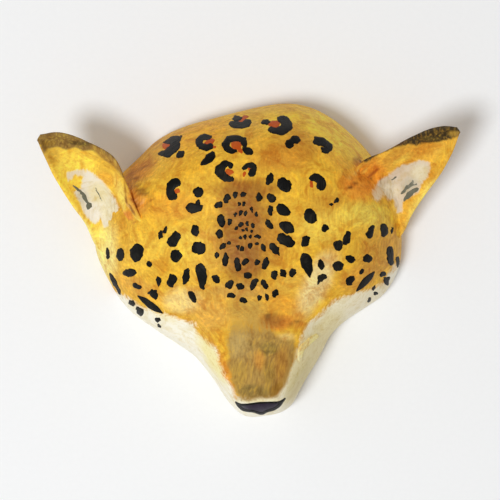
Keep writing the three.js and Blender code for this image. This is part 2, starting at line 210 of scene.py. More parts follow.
EAR_SCHEMES = {
    "left": {
        "ground": "#F8D250",
        "dabs": [
            (-118, 22, 26, 7, -52, "#F6E384", 0.85),
            (-139, 74, 9, 7, 0, "#CFA442", 0.7),
            (-99, 57, 9, 5, -42, "#E3A236", 0.7),
            (-124, 65, 16, 6, 0, "#F8D858", 0.8),
            (-101, 67, 10, 4, -38, "#DFB03C", 0.8),
            (-90, 46, 3, 14, 12, "#F9DD6C", 0.85),
            (-85, 30.5, 4.5, 4, 0, "#E48A38", 0.8),
            (-97, 17, 14, 8, 0, "#F6E27E", 0.8),
        ],
        "cream": {
            "outlines": [[
                (-113, 62.5), (-106.5, 59.5), (-101.7, 54.3), (-97.5, 49), (-94, 43), (-92, 37),
                (-90, 31.5), (-94, 30.5), (-93.5, 26), (-101, 23), (-104, 28), (-108, 25.5), (-112, 28),
                (-117, 36), (-119.5, 42), (-122.5, 48), (-118, 51), (-116.5, 56),
            ], [
                (-128, 61), (-121, 62.5), (-113, 62.5), (-115, 58.8), (-122, 59), (-126.5, 55.5),
            ]],
            "ground": "#EFE8D8",
            "dabs": [
                (-110, 31, 7, 6, 0, "#F6F1E8", 0.9),
                (-105, 47, 9, 8, -40, "#EADDAE", 0.8),
                (-117, 44, 5, 6, 0, "#D8D2C2", 0.8),
                (-98, 34, 6, 8, 0, "#EFE4C0", 0.8),
                (-122, 60, 7, 3, 0, "#EAD8B8", 0.8),
            ],
        },
        "umber": {
            "outlines": [[
                (-152, 92), (-152, 82), (-146, 80.5), (-143.5, 74), (-141, 78.5), (-134.5, 79.5),
                (-128, 77.5), (-121.5, 79), (-116, 76), (-110, 76.5), (-104, 71.5), (-97, 67),
                (-91, 61.5), (-86, 56), (-80, 60), (-90, 78), (-110, 92), (-130, 98),
            ]],
            "ground": "#94733A",
            "dabs": [
                (-118, 82, 9, 2, -5, "#5E4A22", 0.8),
                (-104, 74, 9, 3, -38, "#B28638", 0.85),
                (-93, 65, 9, 4, -45, "#B4843A", 0.85),
                (-140, 82, 5, 2, 0, "#A07C30", 0.7),
            ],
        },
    },
    "right": {
        "ground": "#E4B03E",
        "dabs": [
            (84, 58, 14, 11, 30, "#EC962E", 0.85),
            (112, 74, 18, 5, 20, "#DD9F38", 0.7),
            (122, 40, 24, 6, 58, "#F4DC6E", 0.8),
            (136, 70, 12, 7, 60, "#E9BC42", 0.7),
            (108, 71, 9, 2.5, 28, "#E9C54E", 0.7),
            (98, 34, 11, 7, 0, "#E6C258", 0.8),
        ],
        "cream": {
            "outlines": [[
                (87.5, 50), (90.5, 54.4), (99.5, 60.6), (108.4, 66.5), (119, 69.6), (126.3, 68.7),
                (127.2, 64), (124, 57.5), (120, 53), (118.7, 48), (113, 42.8), (108.4, 40.6), (107, 33),
                (104, 33), (102, 42), (98.2, 41.4), (96, 46), (91.5, 42.8), (88.8, 40.5), (87.5, 44),
            ]],
            "ground": "#DDCDB6",
            "dabs": [
                (120, 61, 7, 6, 40, "#E6DCBA", 0.8),
                (99, 48, 7, 5, 0, "#EADCC0", 0.8),
                (102, 60, 9, 3, 36, "#D8C2AA", 0.7),
                (112, 52, 7, 5, 40, "#B9B49E", 0.6),
            ],
        },
        "umber": {
            "outlines": [[
                (81, 68.4), (88, 71.6), (95, 74.8), (104, 78.6), (112, 81), (117, 79.6), (121, 82.2),
                (133, 82.8), (142, 84.5), (149, 87), (155, 98), (120, 100), (95, 90), (76, 75),
            ]],
            "ground": "#43351D",
            "dabs": [
                # The gold dab near the tip is a painted glint on the dark band.
                (144, 88, 5, 2.5, 0, "#B08A36", 0.9),
                (126, 85, 8, 1.5, 0, "#6E5A28", 0.8),
                (102, 80, 10, 2, 24, "#6A4622", 0.7),
            ],
        },
    },
}
# Wrinkles round the ear roots: orange washes, painted shade in the valleys, painted highlights on the
# ridges.
ROOT_WASHES_SHADE_AND_HIGHLIGHTS = {
    "left": [
        (-76, 62, 13, 7, 30, "#C47C28", 0.75),
        (-79, 42, 11, 6, -64, "#E09640", 0.85),
        (-76, 49, 8, 2.4, -42, "#8A6124", 0.85),
        (-80, 57.6, 3.4, 1, 14, "#7A4A14", 0.85),
        (-78, 62.6, 6, 1.2, 38, "#9E6220", 0.7),
        (-73, 65.4, 5, 1.2, 26, "#A66A26", 0.65),
        (-74, 58.6, 5, 1.1, 18, "#A96C28", 0.55),
        (-86.8, 50, 4.5, 0.9, 90, "#A0661E", 0.75),
        (-85.8, 42, 4.5, 1, -76, "#8E5218", 0.85),
        (-82.2, 35.6, 5, 1.1, -52, "#8A4C14", 0.85),
        (-84.2, 37.2, 4, 0.8, -60, "#F6C872", 0.7),
        (-77.8, 38.2, 2, 1.2, 78, "#7C3C12", 0.9),
        (-81.4, 42.4, 1.8, 1.4, 0, "#A85E30", 0.8),
        (-79.6, 40.6, 3, 0.8, -58, "#F2B266", 0.75),
        (-75.2, 40.2, 3, 0.8, 48, "#EEB472", 0.7),
        (-70.2, 40.8, 3.4, 0.9, 34, "#A5641E", 0.7),
        (-73.6, 37.6, 2.6, 0.8, 40, "#B06E24", 0.6),
        (-82, 27.4, 2.4, 0.9, -10, "#B05A28", 0.6),
    ],
    "right": [
        (74.8, 53.8, 5.4, 1, 42, "#984F16", 0.85),
        (71.2, 50, 2.6, 1, 24, "#6E4212", 0.85),
        (87, 60.6, 7, 1.2, 35, "#AE581A", 0.8),
        (84.6, 55.8, 3.4, 1, 46, "#8C5620", 0.7),
        (79, 57.8, 4, 0.9, 62, "#C0681E", 0.7),
        (73.4, 60.8, 4, 0.9, 30, "#F2C468", 0.8),
        (81.2, 62.4, 3.4, 1, 54, "#F6B848", 0.85),
        (88.8, 68, 3.8, 1, 40, "#F4B444", 0.75),
        (79.4, 51.6, 3, 0.9, 62, "#F09A3A", 0.65),
        (76.4, 70, 3, 3, 0, "#A86E30", 0.6),
        (78.4, 69.4, 1.4, 0.8, -50, "#4E3212", 0.9),
    ],
}
# Where those creases stand out: centre, reach and the way they run.
ROOT_CREASES = [((-77, 46), (12, 19), -50), ((77, 58), (16, 13), 42)]
# The crease valleys are darkened towards this brown, by this share at most: painted shade.
CREASE_SHADE_COLOUR = "#9A5218"
CREASE_SHADE_STRENGTH = 0.3
CREASE_WIDTH = 4.2
# The coats' edges wander in bends of about this size.
WANDER_SIZE = 9
# The strip's pale yellow is partly its own paint and partly a painted highlight along its lit ridge.
CREASE_STRIP_AND_HIGHLIGHT_SCHEME = {"ground": "#F3E49C", "dabs": [(35, -70, 5, 6, 0, "#EADFAF", 0.8)]}

# A spot is (x, y, length, width, turn of its length in degrees) and, where it narrows or widens towards
# its far end, a taper.
FOREHEAD_SPOTS = [
    (-48, 74.2, 7, 4.4, 38), (-28.5, 70.5, 13.5, 6.8, 42, -0.35), (-35.3, 48, 8.5, 7.2, 110),
    (-38.5, 36.5, 12.5, 8.2, 12, 0.1), (-35.5, 40.8, 4.8, 3.4, 70, 0.2), (28.6, 81.3, 6.6, 6.4, 0),
    (32.8, 84.2, 7, 5.6, 5), (30.8, 82.9, 8, 4.4, 36), (14.5, 56.5, 9.4, 5.8, 70, -0.3),
    (23.4, 53.4, 9, 8, 62), (25.6, 51.8, 9.4, 8.6, -20), (43, 30.5, 11.5, 9.5, -62),
    (61.5, 41.5, 4.5, 4, 60), (58, 39, 3.5, 2.5, 70), (53.5, 22.5, 6.5, 5, 70),
]
OVAL_SPOTS = [
    (-21, 38.5, 6.5, 5, 0), (-15.5, 42.5, 8, 5, 72), (-9.5, 46, 5, 4, 60), (-4, 46, 4.5, 4, 20),
    (7, 43.5, 7, 5, 90), (16, 43.5, 8.5, 6, -35), (-6.8, 38.8, 3.9, 2.8, 110), (-3.3, 39, 3.6, 3.1, 60),
    (-9.5, 32, 3.5, 2.5, 70), (-5.5, 33.5, 4, 2.5, 70), (-2.5, 32.5, 4, 2.5, 100),
    (2, 35.5, 4.5, 2.5, 105), (5.5, 32, 4, 3, 110), (15, 34.5, 7, 4.5, 90), (24, 35, 12, 7, -35, 0.1),
    (-19.5, 28, 9.5, 6, 95), (-13.5, 27, 5, 3.5, 80), (-5.5, 24.5, 4.5, 3.5, 60),
    (-1, 25.5, 3.5, 2.5, 70), (3, 24, 4, 3, 100), (-8.5, 22, 3.5, 2.5, 60), (-4, 21, 2.2, 2, 0),
    (-1.5, 21.5, 2.5, 2.5, 0), (2, 20.5, 2.2, 1.8, 0), (14, 25, 8, 5, -60), (26.5, 23, 12.5, 8, -30),
    (-37.5, 20.5, 8.5, 6.5, 90), (-20.5, 18, 7, 5.5, 80), (-6, 15.5, 3, 2.5, 0), (-2.5, 16, 4, 2.5, 90),
    (1, 16.5, 3.5, 2.5, 60), (6, 16, 4.5, 3.5, -30), (26, 13.5, 14.5, 9, -33, 0.1),
    (39.5, 13, 9, 6, 70), (-35, 8.5, 10.5, 9.5, 0), (-18, 9.5, 5.5, 4.5, 60), (-14, 11.5, 3.5, 2.5, 20),
    (-7.5, 9, 3.5, 2.5, 80), (-4.5, 8, 4, 3, 90), (1, 10, 5, 4, 70), (5.5, 11, 3, 2.5, 0),
    (10, 8.5, 5.5, 4, 100), (18, 8, 11, 5.5, -55), (-22.5, 3, 5, 4, 90), (-16.5, 0, 10, 5, 85),
    (-8, -3, 10.5, 5, 102), (-2.5, -1.5, 6, 4, 50), (5.5, -2, 5, 4, 80), (11.5, -2.5, 9, 4.5, 70),
    (41, -3.8, 18, 8, -74, 0.55), (-0.5, -11, 5.5, 4.5, -20), (18, -11, 7, 5, 90), (24, -9, 7, 5, 100),
    (30.5, -9, 7, 5.5, 70), (-44, -11.5, 13, 5.5, 80), (-33, -12, 20, 7.5, -82, 0.45),
    (-23, -13.5, 7, 5, -60), (-13.5, -17, 7.5, 5.5, 60), (-6, -18.5, 6, 5, -20), (3.5, -17, 9.5, 5, 62),
    (11, -17, 8.5, 4.5, -60), (-39.5, -25.5, 10.5, 5, -62), (-12.5, -25, 7, 3.5, 10),
    (-4, -28, 5.5, 4, -30), (7.5, -26.5, 5, 3.5, -70), (12.5, -26, 4.5, 3.5, 90),
    (18.5, -23.5, 6.5, 4.5, 60),
]
LEFT_CHEEK_SPOTS = [
    (-98.5, 4.5, 8.5, 3, 95), (-90, 4, 9.5, 6.5, 90), (-78.5, 5, 13, 9.5, 85), (-62, 17.5, 7, 4, 80),
    (-58.5, 21, 5.5, 3.5, 70), (-52.5, 14.5, 12, 8.5, 60), (-51, 3, 9, 8.5, 90),
    (-69.5, -3, 5, 3.5, 100), (-83.5, -9, 10.5, 6, 5), (-93.5, -16.5, 17.5, 3.5, -62, 0.2),
    (-78.5, -18, 7, 4.5, -35), (-63, -15, 8.5, 4, 95), (-54, -14.5, 10, 7.5, 75),
    (-66.5, -24, 8.5, 5, -50), (-67.5, -22.5, 7, 4, 10), (-82, -30, 5, 4, -40),
    (-76.5, -35.5, 7, 4.5, -45), (-64, -42, 4, 3.5, -30), (-62.5, -46, 4, 2.5, -50),
]
RIGHT_CHEEK_SPOTS = [
    (68.5, 15.5, 10, 6, 72), (62.5, 10, 8.5, 7, 70), (85, 19.5, 10, 6, 70), (94.5, 21, 10.5, 6, 95),
    (100, 21, 5.5, 2, 90), (99, 3, 15, 5, 95), (104, -1.5, 8, 2.8, 85), (50.5, -3, 8, 4.5, 100),
    (62.5, -4.5, 8.5, 7, -10), (71, 0.5, 8, 6, -20), (83, 1, 7, 5.5, 0), (51, -12.5, 7.5, 5.5, 40),
    (49, -15, 5, 3, 60), (79, -8, 4.5, 3, 60), (71, -14, 7.5, 4.5, 30), (70, -16, 5, 4, 80),
    (94, -10, 5, 3.5, 70), (96.5, -14.5, 6.5, 4.5, 80), (87.5, -19.5, 4, 2.5, 50),
    (88.5, -23.5, 4, 2.5, 30), (84.5, -27.5, 3.5, 2.5, 50),
]
ROSETTE_LOBES = [
    (-0.8, 76.3, 8.4, 5.6, -24), (-7.9, 98.9, 8, 4.6, 6), (11.6, 96.3, 7.2, 3.8, 0),
]
RUST_SPOTS = [
    (-57.4, 80.1, 6.6, 5.2, 25), (-27.6, 82, 9.4, 3.6, 26), (-24.6, 79, 3.2, 2.4, 20),
    (-8.8, 80.2, 7.6, 6.4, 0), (-6, 76.6, 5.5, 3, -55), (-3.8, 98.4, 8.6, 3.9, 27),
    (-13.6, 61.9, 6.2, 4.2, -5), (-14.8, 60.4, 3.6, 2.6, -50), (0, 63.9, 3, 2.2, 40),
    (-3, 59.8, 3.6, 2.3, 75), (17.8, 95.2, 9, 5, 8), (18.8, 94.2, 6.5, 5, -20),
    (44.1, 52.8, 5.6, 3, 108), (-50.2, 48.4, 4, 3.4, 60),
]

# Brush strokes are a path and the half width of the brush along it.
ROSETTE_ARCS = [
    {"centre": (-30.1, 82.2), "radii": (4.8, 3.5), "sweep": (38, 345), "half_width": 2.5},
    {"centre": (-9.9, 80.5), "radii": (6.1, 4.6), "sweep": (-12, 286), "half_width": 2.4},
]
ROSETTE_STROKES = [
    ([(-63.6, 74.4), (-58, 74.6), (-53, 78), (-50.6, 82.4), (-47.2, 86.8)], [1.6, 3, 3.8, 3.4, 0.5]),
    ([(-60.4, 81.8), (-57, 83), (-53.5, 84), (-49, 86)], [0.5, 2, 2.8, 1.4]),
    ([(-5.6, 85.4), (-3.2, 82.6), (-3.6, 78.8)], [1.6, 2.6, 2]),
    ([(-5, 83.4), (-1.4, 84.8)], [2.2, 1]),
    ([(-13.6, 95.4), (-9.6, 95), (-5.6, 94.2), (-1.8, 95), (1.6, 97.6)], [1.7, 2.6, 2.5, 2.5, 1.6]),
    ([(-10.9, 65.2), (-15.4, 67.6), (-19.1, 65.4), (-20.1, 61.9), (-18.1, 58.8), (-14.7, 57),
      (-10.6, 55.4)], [1.9, 2.8, 3.5, 3.8, 3.1, 2.4, 1.4]),
    ([(-3.9, 62.6), (-2.2, 65.8), (1.2, 66.5), (3.8, 64.4), (2.6, 61.4), (-0.4, 59.2)],
     [1.3, 2, 2.2, 2.6, 3.1, 2.2]),
    ([(19.8, 99), (25, 97.2), (26.4, 93.4), (23.4, 90.8), (19, 90.2), (13.6, 91.6)],
     [2.2, 3.6, 4.3, 3.5, 3.1, 2.1]),
    ([(44.6, 83), (49, 83.2), (53.4, 81.2), (56, 78.8), (54.6, 76.8), (50, 76.8)],
     [2.9, 3.6, 3.2, 2.8, 2.6, 1.6]),
    ([(42, 57), (46.2, 57.6), (49.6, 55.6), (50.8, 52.6), (49.6, 48.2)], [2.5, 3.2, 3.8, 3.9, 3]),
    ([(-47.6, 53.6), (-52, 54), (-54.8, 51), (-55, 47.8), (-53.6, 45), (-50, 45.2)],
     [3, 3.5, 3.6, 3.5, 3.5, 2.7]),
]
EYE_SLITS = [
    ([(-78, -25), (-73.5, -28), (-69, -31.5), (-64.5, -34.5), (-60, -37.5)], [0.4, 2.1, 2.7, 2.2, 0.3]),
    ([(75, -22), (78.5, -18.5), (81.5, -15), (85, -11.5), (88, -8)], [0.4, 2, 2.7, 2.2, 0.4]),
]
NOSE_TOP = [
    (-9.4, -99.1), (-5.7, -101.2), (1.8, -100.8), (8, -99.9), (20.5, -99.6), (23, -99), (25.5, -96.6)]
NOSE_TOP_WIDTHS = [0.3, 0.8, 0.7, 0.6, 0.7, 1.1, 0.4]
NOSE_BOTTOM = [
    (-9.4, -99.3), (-7, -102), (-3.8, -104.7), (3.5, -106), (9, -107.4), (12.5, -105.8), (18, -104),
    (21.8, -101), (25.5, -96.8)]
NOSE_BOTTOM_WIDTHS = [0.3, 1.2, 1.1, 0.9, 1.0, 0.9, 1.1, 1.2, 0.4]
CREASE_PATH = ([(48, -52), (42, -57), (36.5, -62.5), (35.5, -71)], [1.4, 2, 2, 1.2])
EAR_HATCHING = {
    "left": [
        ([(-123.2, 52.3), (-118.3, 48.4), (-114.6, 43.4), (-112.6, 39)], [0.4, 1.1, 1.3, 0.8]),
        ([(-113.2, 41), (-112, 38), (-112.3, 35)], [1, 2.2, 1]),
        ([(-108, 51), (-105, 46), (-103.4, 42)], [0.1, 0.3, 0.1]),
    ],
    "right": [
        ([(106.3, 46), (111, 50.8), (115.4, 55.3)], [0.3, 1.7, 0.7]),
        ([(111.5, 50.8), (115, 52.6), (118, 53.2)], [0.5, 1, 0.3]),
        ([(108.4, 41.4), (112.2, 46), (118.3, 49.6)], [0.3, 2.2, 1.1]),
        ([(99.6, 56), (101.4, 57.2), (103.4, 59)], [0.3, 0.7, 0.3]),
    ],
}


# ---- sizes and colours that a user may change ----

def linear(code):
    """An sRGB hex colour as linear red, green, blue and alpha."""
    parts = [int(code[i:i + 2], 16) / 255 for i in (1, 3, 5)]
    return [c / 12.92 if c <= 0.04045 else ((c + 0.055) / 1.055) ** 2.4 for c in parts] + [1.0]


class LeopardMaskSizes(bpy.types.PropertyGroup):
    """Sizes of the paper and of the brush"""

    paper_relief: FloatProperty(
        name="Paper relief", description="How far the pasted layers swell and dip",
        default=0.7 * MM, unit="LENGTH")
    stroke_length: FloatProperty(
        name="Stroke length", description="Length of one brush stroke",
        default=6.5 * MM, unit="LENGTH")
    stroke_width: FloatProperty(
        name="Stroke width", description="Width of the streaks in a stroke",
        default=1.7 * MM, unit="LENGTH")
    paint_thickness: FloatProperty(
        name="Paint thickness", description="How far the black marks stand off the yellow coat",
        default=0.16 * MM, unit="LENGTH")
    edge_wobble: FloatProperty(
        name="Edge wobble", description="How far the edge of a painted mark wanders",
        default=3.2 * MM, unit="LENGTH")
    fold_relief: FloatProperty(
        name="Fold relief", description="Depth of the wrinkles pasted round the ear roots",
        default=1.4 * MM, unit="LENGTH")


def colour_property(label, use, code):
    return FloatVectorProperty(
        name=label, description=use, subtype="COLOR", size=4, min=0, max=1, default=linear(code))


class LeopardMaskColours(bpy.types.PropertyGroup):
    """Colours of the paints and papers"""

    black: colour_property("Black", "Spots, rosettes and eyes", "#050402")
    rust: colour_property("Rust", "Centres of the rosettes", "#C0500A")
    plum: colour_property("Plum", "Middle of the nose", "#2C2330")
    slate: colour_property("Slate", "Hair strokes inside the ears", "#6A6B5C")
    shade: colour_property("Shade", "Ochre streaks in the yellow coat", "#D9A352")
    glow: colour_property("Glow", "Lemon streaks in the yellow coat", "#F0DF6C")
    kraft: colour_property("Kraft", "Bare paper inside the mask", "#B08F60")
    floor: colour_property("Floor", "The sheet that the mask lies on", "#F5F5F6")


# ---- helpers ----

def fill(node, inputs):
    """Links a node's input sockets to other sockets, or sets them to plain values."""
    for key, value in inputs.items():
        if isinstance(value, bpy.types.NodeSocket):
            node.id_data.links.new(value, node.inputs[key])
        else:
            node.inputs[key].default_value = value


def add(tree, kind, inputs=None, **settings):
    """Adds a node, sets its properties, and fills its input sockets."""
    node = tree.nodes.new(kind)
    for name, value in settings.items():
        setattr(node, name, value)
    fill(node, inputs or {})
    return node


def sizes():
    return bpy.context.scene.leopard_mask_sizes


def colours():
    return bpy.context.scene.leopard_mask_colours


def spline(points, samples):
    """Points on a centripetal Catmull-Rom curve, at places from 0 to 1 spread evenly over its points."""
    knots = np.array(points, float)
    knots = np.vstack([2 * knots[0] - knots[1], knots, 2 * knots[-1] - knots[-2]])
    place = np.clip(np.asarray(samples, float), 0, 1) * (len(points) - 1)
    first = np.minimum(place.astype(int), len(points) - 2)
    u = (place - first)[..., None]
    a, b, c, d = (knots[first + i] for i in range(4))
    before, within, after = (
        np.sqrt(np.linalg.norm(q - p, axis=-1, keepdims=True)) for p, q in ((a, b), (b, c), (c, d)))
    leave = ((b - a) / before - (c - a) / (before + within) + (c - b) / within) * within
    arrive = ((c - b) / within - (d - b) / (within + after) + (d - c) / after) * within
    square, cube = 3 * (c - b) - 2 * leave - arrive, 2 * (b - c) + leave + arrive
    return b + leave * u + square * u**2 + cube * u**3


def unit(rows):
    """The same directions at length 1."""
    return rows / np.maximum(np.linalg.norm(rows, axis=-1, keepdims=True), 1e-12)


def ripple(points, size, seed):
    """Smooth noise from about -1 to 1, with bumps about `size` across."""
    offset = Vector((seed * 7.31, seed * 3.77, seed * 5.13))
    flat = points.reshape(-1, 3) / size
    return np.array([noise.noise(Vector(p) + offset) for p in flat]).reshape(points.shape[:-1])


def smooth(low, high, value):
    """0 up to `low`, 1 from `high` on, with a soft slope between them."""
    t = np.clip((value - low) / (high - low), 0, 1)
    return t * t * (3 - 2 * t)


def vectors(items, key):
    """A vector of each item, such as each vertex's place, one to a row."""
    flat = np.empty(len(items) * 3)
    items.foreach_get(key, flat)
    return flat.reshape(-1, 3)


def placed(name, data):
    """A new object at the origin of the scene."""
    thing = bpy.data.objects.new(name, data)
    bpy.context.scene.collection.objects.link(thing)
    return thing


def new_object(name, vertices, faces):
    """A smooth-shaded mesh object, its faces pointing outwards."""
    mesh = bpy.data.meshes.new(name)
    mesh.from_pydata([tuple(v) for v in vertices], [], faces)
    piece = placed(name, mesh)
    clean(piece)
    return piece


def clean(piece, merge=0.002 * MM):
    """Merges doubled corners and turns the faces outwards."""
    work = bmesh.new()
    work.from_mesh(piece.data)
    bmesh.ops.remove_doubles(work, verts=work.verts, dist=merge)
    bmesh.ops.recalc_face_normals(work, faces=work.faces)
    work.to_mesh(piece.data)
    work.free()
    piece.data.shade_smooth()


def join_triangles(mesh, angle=math.radians(50)):
    """Joins pairs of triangles into four-sided faces, which round off more evenly."""
    work = bmesh.new()
    work.from_mesh(mesh)
    bmesh.ops.join_triangles(
        work, faces=work.faces, angle_face_threshold=angle, angle_shape_threshold=angle)
    work.to_mesh(mesh)
    work.free()


def closed_sheet(top, bottom):
    """Corners and faces of the solid between two grids of points."""
    count = top.shape[0] * top.shape[1]
    at = np.arange(count).reshape(top.shape[:2])
    squares = np.stack([at[:-1, :-1], at[:-1, 1:], at[1:, 1:], at[1:, :-1]], axis=-1).reshape(-1, 4)
    edge = np.concatenate([at[0], at[1:, -1], at[-1, -2::-1], at[-2:0:-1, 0]])
    ahead = np.roll(edge, -1)
    walls = np.column_stack([edge, edge + count, ahead + count, ahead])
    faces = np.vstack([squares, squares[:, ::-1] + count, walls])
    return np.vstack([top.reshape(-1, 3), bottom.reshape(-1, 3)]), faces.tolist()


def evaluated_copy(source, name):
    """The object's mesh with its modifiers applied, as a plain object, and the source removed."""
    graph = bpy.context.evaluated_depsgraph_get()
    mesh = bpy.data.meshes.new_from_object(source.evaluated_get(graph))
    mesh.name = name
    bpy.data.objects.remove(source)
    return placed(name, mesh)


def settle(piece, slot, *nodes):
    """The finished piece rides on the mask, and stands for the nodes that it replaces."""
    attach(piece, "root")
    if nodes:
        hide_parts(*nodes)


# ---- paint scheme on a mesh ----

def seen_place(points):
    """Where the painter's eye sees points, on the sheet under the mask, in millimetres."""
    eye = np.array(EYE)
    return (eye[:2] + (points[:, :2] - eye[:2]) * (eye[2] / (eye[2] - points[:, 2:]))) / MM


def along_and_across(away, turn):
    """Flat offsets measured along and across a direction that is turned by so many degrees."""
    cos, sin = math.cos(math.radians(turn)), math.sin(math.radians(turn))
    return away[:, 0] * cos + away[:, 1] * sin, away[:, 1] * cos - away[:, 0] * sin


def blended(places, ground, dabs):
    """The ground colour with soft dabs of other colours laid over it in turn."""
    result = np.tile(linear(ground)[:3], (len(places), 1))
    for x, y, half_length, half_width, turn, colour, strength in dabs:
        along, across = along_and_across(places - (x, y), turn)
        distance = np.hypot(along / half_length, across / half_width)
        share = strength * (1 - smooth(0.45, 1.35, distance))[:, None]
        result = result * (1 - share) + np.array(linear(colour)[:3]) * share
    return result


def inside_share(places, outline, feather):
    """1 well inside an outline, 0 well outside it, and 0.5 on it."""
    corners = np.array(outline, float)
    nearest = np.full(len(places), 1e9)
    inside = np.zeros(len(places), bool)
    for a, b in zip(corners, np.roll(corners, -1, axis=0)):
        edge = b - a
        along = np.clip(((places - a) @ edge) / (edge @ edge), 0, 1)
        nearest = np.minimum(nearest, np.linalg.norm(places - a - along[:, None] * edge, axis=1))
        crosses = (a[1] > places[:, 1]) != (b[1] > places[:, 1])
        rise = edge[1] if abs(edge[1]) > 1e-9 else 1e-9
        inside ^= crosses & (places[:, 0] < a[0] + (places[:, 1] - a[1]) * edge[0] / rise)
    return np.clip(0.5 + np.where(inside, nearest, -nearest) / (2 * feather), 0, 1)


def write_colour(mesh, name, colour, alpha):
    """Stores a coat's colour on the mesh, with how far it covers as its alpha."""
    layer = mesh.attributes.new(name, "FLOAT_COLOR", "POINT")
    layer.data.foreach_set("color", np.column_stack([colour, alpha]).astype(np.float32).ravel())


def root_creases(points):
    """From 0 to 1, how deep points lie in a crease of the paper round the ear roots."""
    places, depth = seen_place(points), np.zeros(len(points))
    for centre, reach, turn in ROOT_CREASES:
        away = places - centre
        nearness = 1 - smooth(0.5, 1.15, np.hypot(*(away / reach).T))
        along, across = along_and_across(away, turn)
        drawn_out = np.column_stack([along / 4, across, points[:, 2] / MM * 0.2]) * MM
        valley = 1 - 6 * np.abs(ripple(drawn_out, CREASE_WIDTH * MM, 21))
        depth = np.maximum(depth, nearness * np.clip(valley, 0, 1))
    return depth


def paint_mesh(mesh, scheme, coats, bare=None, front=None, wander=2.0, feather=4.0):
    """Stores the ground coat with painted crease shade, two ragged coats over it, and where the paper is
    bare.
    """
    points = vectors(mesh.vertices, "co")
    drift = [ripple(points, WANDER_SIZE * MM, seed) * wander for seed in (1, 2)]
    places = seen_place(points) + np.column_stack(drift)
    everywhere = np.ones(len(points))
    front = everywhere if front is None else front
    # Painted shade: the ground coat darkens towards a brown in the crease valleys round the ear roots.
    crease_shade = CREASE_SHADE_STRENGTH * root_creases(points)[:, None]
    ground = blended(places, scheme["ground"], scheme["dabs"])
    ground = ground * (1 - crease_shade) + np.array(linear(CREASE_SHADE_COLOUR)[:3]) * crease_shade
    write_colour(mesh, "ground_coat", ground, everywhere)
    for name, coat, where in zip(("second_coat", "third_coat"), coats, (front, everywhere)):
        if coat is None:
            write_colour(mesh, name, np.zeros((len(points), 3)), everywhere * 0)
            continue
        share = np.max([inside_share(places, outline, feather) for outline in coat["outlines"]], axis=0)
        if "fade" in coat:
            share *= 1 - smooth(*coat["fade"], places[:, 1])
        write_colour(mesh, name, blended(places, coat["ground"], coat["dabs"]), share * where)
    layer = mesh.attributes.new("bare_paper", "FLOAT", "POINT")
    layer.data.foreach_set("value", (everywhere * 0 if bare is None else bare).astype(np.float32))


# ---- materials ----

def start_material(name):
    """An empty material with its shader and output, and the piece's own coordinates."""
    material = bpy.data.materials.get(name)
    if material:
        return material, None, None, None
    material = bpy.data.materials.new(name)
    material.use_nodes = True
    tree = material.node_tree
    tree.nodes.clear()
    shader = add(tree, "ShaderNodeBsdfPrincipled")
    add(tree, "ShaderNodeOutputMaterial", {"Surface": shader.outputs["BSDF"]})
    place = add(tree, "ShaderNodeTexCoord").outputs["Object"]
    return material, tree, shader, place


def brush_strokes(tree, place, length, width, lengthwise=None):
    """Streaks of a flat brush, from 0 to 1, laid in curved strokes whose direction changes by patches.

    Where `lengthwise` is 1 the strokes run down the mask instead.
    """
    bend_size, swing, patch_size = 28 * MM, 12 * MM, 17 * MM
    bend = add(tree, "ShaderNodeTexNoise", {"Vector": place, "Scale": 1 / bend_size, "Detail": 1.0})
    centred = add(tree, "ShaderNodeVectorMath", {0: bend.outputs["Color"], 1: (0.5, 0.5, 0.5)},
                  operation="SUBTRACT")
    swung = add(tree, "ShaderNodeVectorMath", {0: centred.outputs[0], "Scale": swing}, operation="SCALE")
    curved = add(tree, "ShaderNodeVectorMath", {0: place, 1: swung.outputs[0]}).outputs[0]
    fields = []
    for turn, pulled in ((18, 1), (-42, 1), (86, 2)):
        laid = add(tree, "ShaderNodeMapping", {
            "Vector": curved, "Rotation": (0, 0, math.radians(turn)),
            "Scale": (length * pulled, width, width)}, vector_type="TEXTURE")
        streak = add(tree, "ShaderNodeTexNoise", {
            "Vector": laid.outputs[0], "Scale": 1.0, "Detail": 2.0, "Roughness": 0.5})
        fields.append(streak.outputs["Fac"])
    field = fields[0]
    for other, seed in zip(fields[1:], (3.1, 8.7)):
        moved = add(tree, "ShaderNodeVectorMath", {0: place, 1: (seed, seed, seed)})
        patch = add(tree, "ShaderNodeTexNoise", {
            "Vector": moved.outputs[0], "Scale": 1 / patch_size, "Detail": 2.0})
        chosen = add(tree, "ShaderNodeMapRange", {
            "Value": patch.outputs["Fac"], "From Min": 0.47, "From Max": 0.55})
        field = add(tree, "ShaderNodeMix", {0: chosen.outputs[0], 2: field, 3: other}).outputs[0]
    if lengthwise:
        field = add(tree, "ShaderNodeMix", {0: lengthwise, 2: field, 3: fields[2]}).outputs[0]
    return add(tree, "ShaderNodeMapRange", {
        "Value": field, "From Min": 0.3, "From Max": 0.7}).outputs[0]


# Acrylic's refraction, and a low shine, as brushed paint keeps under a thin varnish.
ACRYLIC_SHINE = {"IOR": 1.49, "Specular IOR Level": 0.15}


